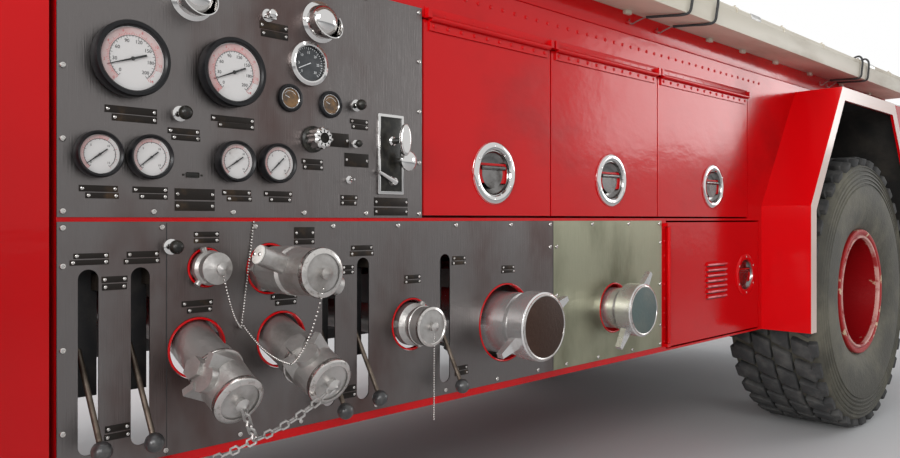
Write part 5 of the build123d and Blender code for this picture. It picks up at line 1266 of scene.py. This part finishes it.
# Windscreen wipers: pressed steel arms on a spindle boss below the screen, each with a rubber blade, parked
# across the lower edge of its pane.
wipers = bmesh.new()
for y in (620, -380):
    foot = screen_middle + Vector((0, y + 60, 0)) - screen_up * 372 + screen_out * 10
    head = foot + Vector((0, -260, 0)) + screen_up * 150
    tube(wipers, [foot, foot.lerp(head, 0.5) + screen_out * 10, head], 5, 2)
    blade_low = head - Vector((0, 210, 0)) + screen_up * 10
    blade_high = head + Vector((0, 190, 0)) - screen_up * 10
    tube(wipers, [blade_low, head + screen_out * 4, blade_high], 4, 2)
    boss_place = at(*foot) @ screen_out.to_track_quat("Z", "Y").to_matrix().to_4x4()
    lathe(wipers, [(0, 0), (16, 0), (15, 14), (9, 20), (0, 20)], 20, boss_place)
put(wipers, "wipers", seal_rubber, "chassis")

# Lamps: clear ribbed head lamps in chromed rings, red tail lamps with a narrow ring, and beacons with a
# moulded blue dome on a chromed foot on the roof.
lens = finish(
    "lamp_lens", (0.62, 0.62, 0.60), (0.42, 0.42, 0.41), 0.12, coat=0.6, scale=30, bump=0.001,
    bump_scale=60, bump_stretch=(1, 9, 0.4),
)
red_lens = finish(
    "red_lens", (0.42, 0.012, 0.010), (0.22, 0.008, 0.008), 0.15, coat=0.7, scale=40, bump=0.001,
    bump_scale=90,
)
blue_lens = finish(
    "blue_lens", (0.010, 0.055, 0.42), (0.008, 0.030, 0.22), 0.12, coat=0.7, scale=20, bump=0.001,
    bump_scale=50, bump_stretch=(6, 6, 0.4),
)
lamp_rings = bmesh.new()
front_lenses = bmesh.new()
tail_lenses = bmesh.new()
beacon_lenses = bmesh.new()
lamp_section = [(80, 0), (100, 0), (101, 6), (97, 22), (90, 32), (84, 34), (80, 28), (80, 0)]
lens_section = [(0, 26), (40, 25), (70, 21), (83, 14), (83, 0), (0, 0)]
tail_section = [(0, 25), (34, 24.4), (48, 20), (55, 12), (55, 0), (0, 0)]
dome_section = [(0, 139), (28, 137), (44, 130), (53, 118), (56, 90), (58, 40), (60, 32), (0, 32)]
for side in (1, -1):
    for y in (830, 620):
        place = at(3644, side * y, 1000) @ swung(90, "Y")
        lathe(lamp_rings, lamp_section, 48, place)
        lathe(front_lenses, lens_section, 48, place @ at(0, 0, 8))
    for z in (1000, 1150):
        place = at(-3700, side * 850, z) @ swung(-90, "Y")
        lathe(tail_lenses, tail_section, 40, place)
        lathe(lamp_rings, [(54, 0), (62, 0), (62, 6), (58, 10), (54, 10), (54, 0)], 40, place)
    place = at(3050, side * 700, 2500)
    lathe(beacon_lenses, dome_section, 48, place)
    lathe(lamp_rings, [(0, 0), (75, 0), (76, 6), (74, 24), (66, 31), (0, 31)], 48, place)
head_lamps = put(front_lenses, "head_lamp_lenses", lens, "chassis")
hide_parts("lamps")
put(tail_lenses, "tail_lamp_lenses", red_lens, "chassis")
put(beacon_lenses, "beacon_lenses", blue_lens, "chassis")
put(lamp_rings, "lamp_rings", chrome, "chassis")

# Mirrors, dashboard and steering wheel: moulded in grained black plastic, with silvered glass clipped into
# the mirror housings and facing back.
grained_black = finish(
    "grained_black", (0.020, 0.020, 0.021), (0.045, 0.044, 0.042), 0.55, scale=12, bump=0.0008,
    bump_scale=220, rough_range=0.1,
)
dress(["mirrors", "dashboard", "steering_wheel"], grained_black)
silvering = finish(
    "mirror_silver", (0.85, 0.86, 0.87), (0.74, 0.75, 0.76), 0.02, metallic=1.0, scale=4, rough_range=0.04
)
mirror_glass = bmesh.new()
for side in (1, -1):
    side_box(mirror_glass, side, (3688, 3690.5), (1140, 1320), (1612, 2008), 1)
put(mirror_glass, "mirror_glass", silvering, "chassis")

# Seats: foam cushions and backs covered in dark woven cloth, on a black pressed pan bolted to the step of
# the cab floor.
seat_cloth = finish(
    "woven_seat_cloth", (0.050, 0.052, 0.058), (0.100, 0.100, 0.105), 0.85, gloss=0.2, scale=260,
    spread=(0.4, 0.6), bump=0.0012, bump_scale=420, rough_range=0.1,
)
seat_cloth.node_tree.nodes["Principled BSDF"].inputs["Sheen Weight"].default_value = 0.35
seat_x = (2560, 3140)
seat_floor_z, cushion_foot_z, cushion_top_z, back_top_z = 1441, 1462, 1568, 2198
back_thick, seat_half, seat_y = 108, 238, 550
grain_size, last_frame, stuffing, swell_limit = 0.011, 20, 0.7, 12


def pad(name, low, high, cap):
    """Swell a slightly smaller block into a stuffed pad with a cloth simulation, inside its own limits."""
    inset = cap * 0.8
    start = bmesh.new()
    add_box(start, [value + inset for value in low], [value - inset for value in high], 20)
    holder = bpy.data.objects.new(name, collect_mesh(start, name))
    scene.collection.objects.link(holder)
    grain = holder.modifiers.new("grain", "REMESH")
    grain.mode = "VOXEL"
    grain.voxel_size = grain_size
    fine = settled_mesh(holder)
    holder.modifiers.clear()
    holder.data = fine
    rest = [vert.co.copy() for vert in fine.vertices]
    cloth = holder.modifiers.new("cloth", "CLOTH")
    cloth.settings.use_pressure = True
    cloth.settings.uniform_pressure_force = 4
    cloth.settings.effector_weights.gravity = 0
    for frame_number in range(1, last_frame + 1):
        scene.frame_set(frame_number)
    graph = bpy.context.evaluated_depsgraph_get()
    swollen = bpy.data.meshes.new_from_object(holder.evaluated_get(graph))
    holder.modifiers.clear()
    for vert, began in zip(swollen.vertices, rest):
        move = vert.co - began
        if move.length > cap * mm:
            vert.co = began + move.normalized() * cap * mm
        for axis in range(3):
            vert.co[axis] = min(max(vert.co[axis], low[axis] * mm), high[axis] * mm)
    holder.data = swollen
    scene.frame_set(1)
    holder.data.materials.clear()
    holder.data.materials.append(seat_cloth)
    holder.data.shade_smooth()
    rounding = holder.modifiers.new("rounding", "SUBSURF")
    rounding.levels = rounding.render_levels = 1
    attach(holder, "chassis")
    return holder


pans = bmesh.new()
for side, word in ((1, "left"), (-1, "right")):
    across = (side * seat_y - seat_half, side * seat_y + seat_half)
    cushion_low = (seat_x[0] + back_thick, across[0], cushion_foot_z)
    cushion_high = (seat_x[1] - 2, across[1], cushion_top_z)
    cushion = pad(f"seat_cushion_{word}", cushion_low, cushion_high, swell_limit)
    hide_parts("cab_seats")
    back_low = (seat_x[0] + 2, across[0], cushion_foot_z)
    back_high = (seat_x[0] + back_thick, across[1], back_top_z)
    pad(f"seat_back_{word}", back_low, back_high, swell_limit)
    pan_high = (seat_x[1] - 6, across[1] - 3, cushion_foot_z + 12)
    add_box(pans, (seat_x[0] + 4, across[0] + 3, seat_floor_z), pan_high, 6)
put(pans, "seat_pans", seal_rubber, "chassis")

# Cab door handles: a chromed grip on two short feet, screwed to each door over its steel pull.
# The feet stand on the door's sheet and are plated with the grip.
grip_x, grip_z = (3038, 3162), 1480
for side, word in ((1, "left"), (-1, "right")):
    grip = bmesh.new()
    side_box(grip, side, grip_x, (1073, 1092), (grip_z - 14, grip_z + 14), 5)
    for x in (grip_x[0] + 9, grip_x[1] - 9):
        side_box(grip, side, (x - 12, x + 12), (1050, 1074), (grip_z - 17, grip_z + 17), 4)
    put(grip, f"cab_door_grip_{word}", chrome, f"cab_door_{word}")

# Tank hatches: spun aluminium lids with a rolled rim over the tank's two fill openings, closed by a ring of
# clamp bolts and lifted by a round bar.
hatch_bolt = turned("hatch_bolt", [(0, 0), (13, 0), (13, 8), (9, 11), (6, 18), (0, 18)], steps=6)
hatches = bmesh.new()
for x in (300, -1400):
    place = at(x, 0, 1990)
    lid = [(0, -2), (226, -2), (231, -1), (231, 5), (224, 9), (214, 6), (180, 8), (60, 16), (0, 17)]
    lathe(hatches, lid, 64, place)
    bolt_ring(hatches, hatch_bolt, place, count=12, radius=203, lift=6)
    bar = ((-70, 2004), (-66, 2034), (-40, 2046), (40, 2046), (66, 2034), (70, 2004))
    tube(hatches, [(x + reach, 0, z) for reach, z in bar], 7)
put(hatches, "tank_hatches", ladder_alloy, "chassis")

# Decks: aluminium treadplate with raised bars, laid over the side lockers beside the tank and dulled by boots
# and dust.
tread_plate = finish(
    "tread_plate", (0.40, 0.395, 0.385), (0.22, 0.21, 0.19), 0.38, metallic=1.0, scale=6, bump=0.004,
    bump_scale=34, bump_stretch=(1, 2.4, 1), rough_range=0.2,
)
dress(["deck_plates"], tread_plate)

# Chassis: pressed frame rails, springs, shafts, tanks, tie rod and bumpers, bolted up and sprayed in satin
# black that road dust has greyed.
frame_black = finish(
    "chassis_black", (0.020, 0.020, 0.021), (0.075, 0.066, 0.055), 0.5, scale=4, spread=(0.45, 0.85),
    bump=0.001, bump_scale=50, rough_range=0.25,
)
dress(["chassis_frame", "leaf_springs", "tie_rod", "underbody_tanks", "drive_shafts", "bumpers"], frame_black)

# Castings: axle housings, steering knuckles, engine and pump, cast in iron and sprayed in a thin dark grey
# that leaves the sand grain showing.
casting = finish(
    "painted_casting", (0.070, 0.070, 0.072), (0.12, 0.105, 0.09), 0.6, scale=7, spread=(0.4, 0.8),
    bump=0.002, bump_scale=80, rough_range=0.2,
)
dress(["front_axle", "rear_axle", "knuckle_left", "knuckle_right", "engine", "pump"], casting)

# Exhaust: silencer and tail pipe of welded mild steel, bare and evenly rusted by heat and road water, hung
# from the right frame rail.
rusty_steel = finish(
    "rusty_exhaust", (0.13, 0.075, 0.045), (0.055, 0.045, 0.04), 0.75, metallic=0.4, scale=8,
    spread=(0.35, 0.7), bump=0.0015, bump_scale=90,
)
dress(["exhaust"], rusty_steel)

# Rear grille: pressed steel slats in a frame, stove-enamelled in black and screwed over the opening of the
# engine housing.
grille_black = finish(
    "grille_black", (0.014, 0.014, 0.015), (0.045, 0.04, 0.036), 0.35, scale=16, rough_range=0.2
)
dress(["rear_grille"], grille_black)
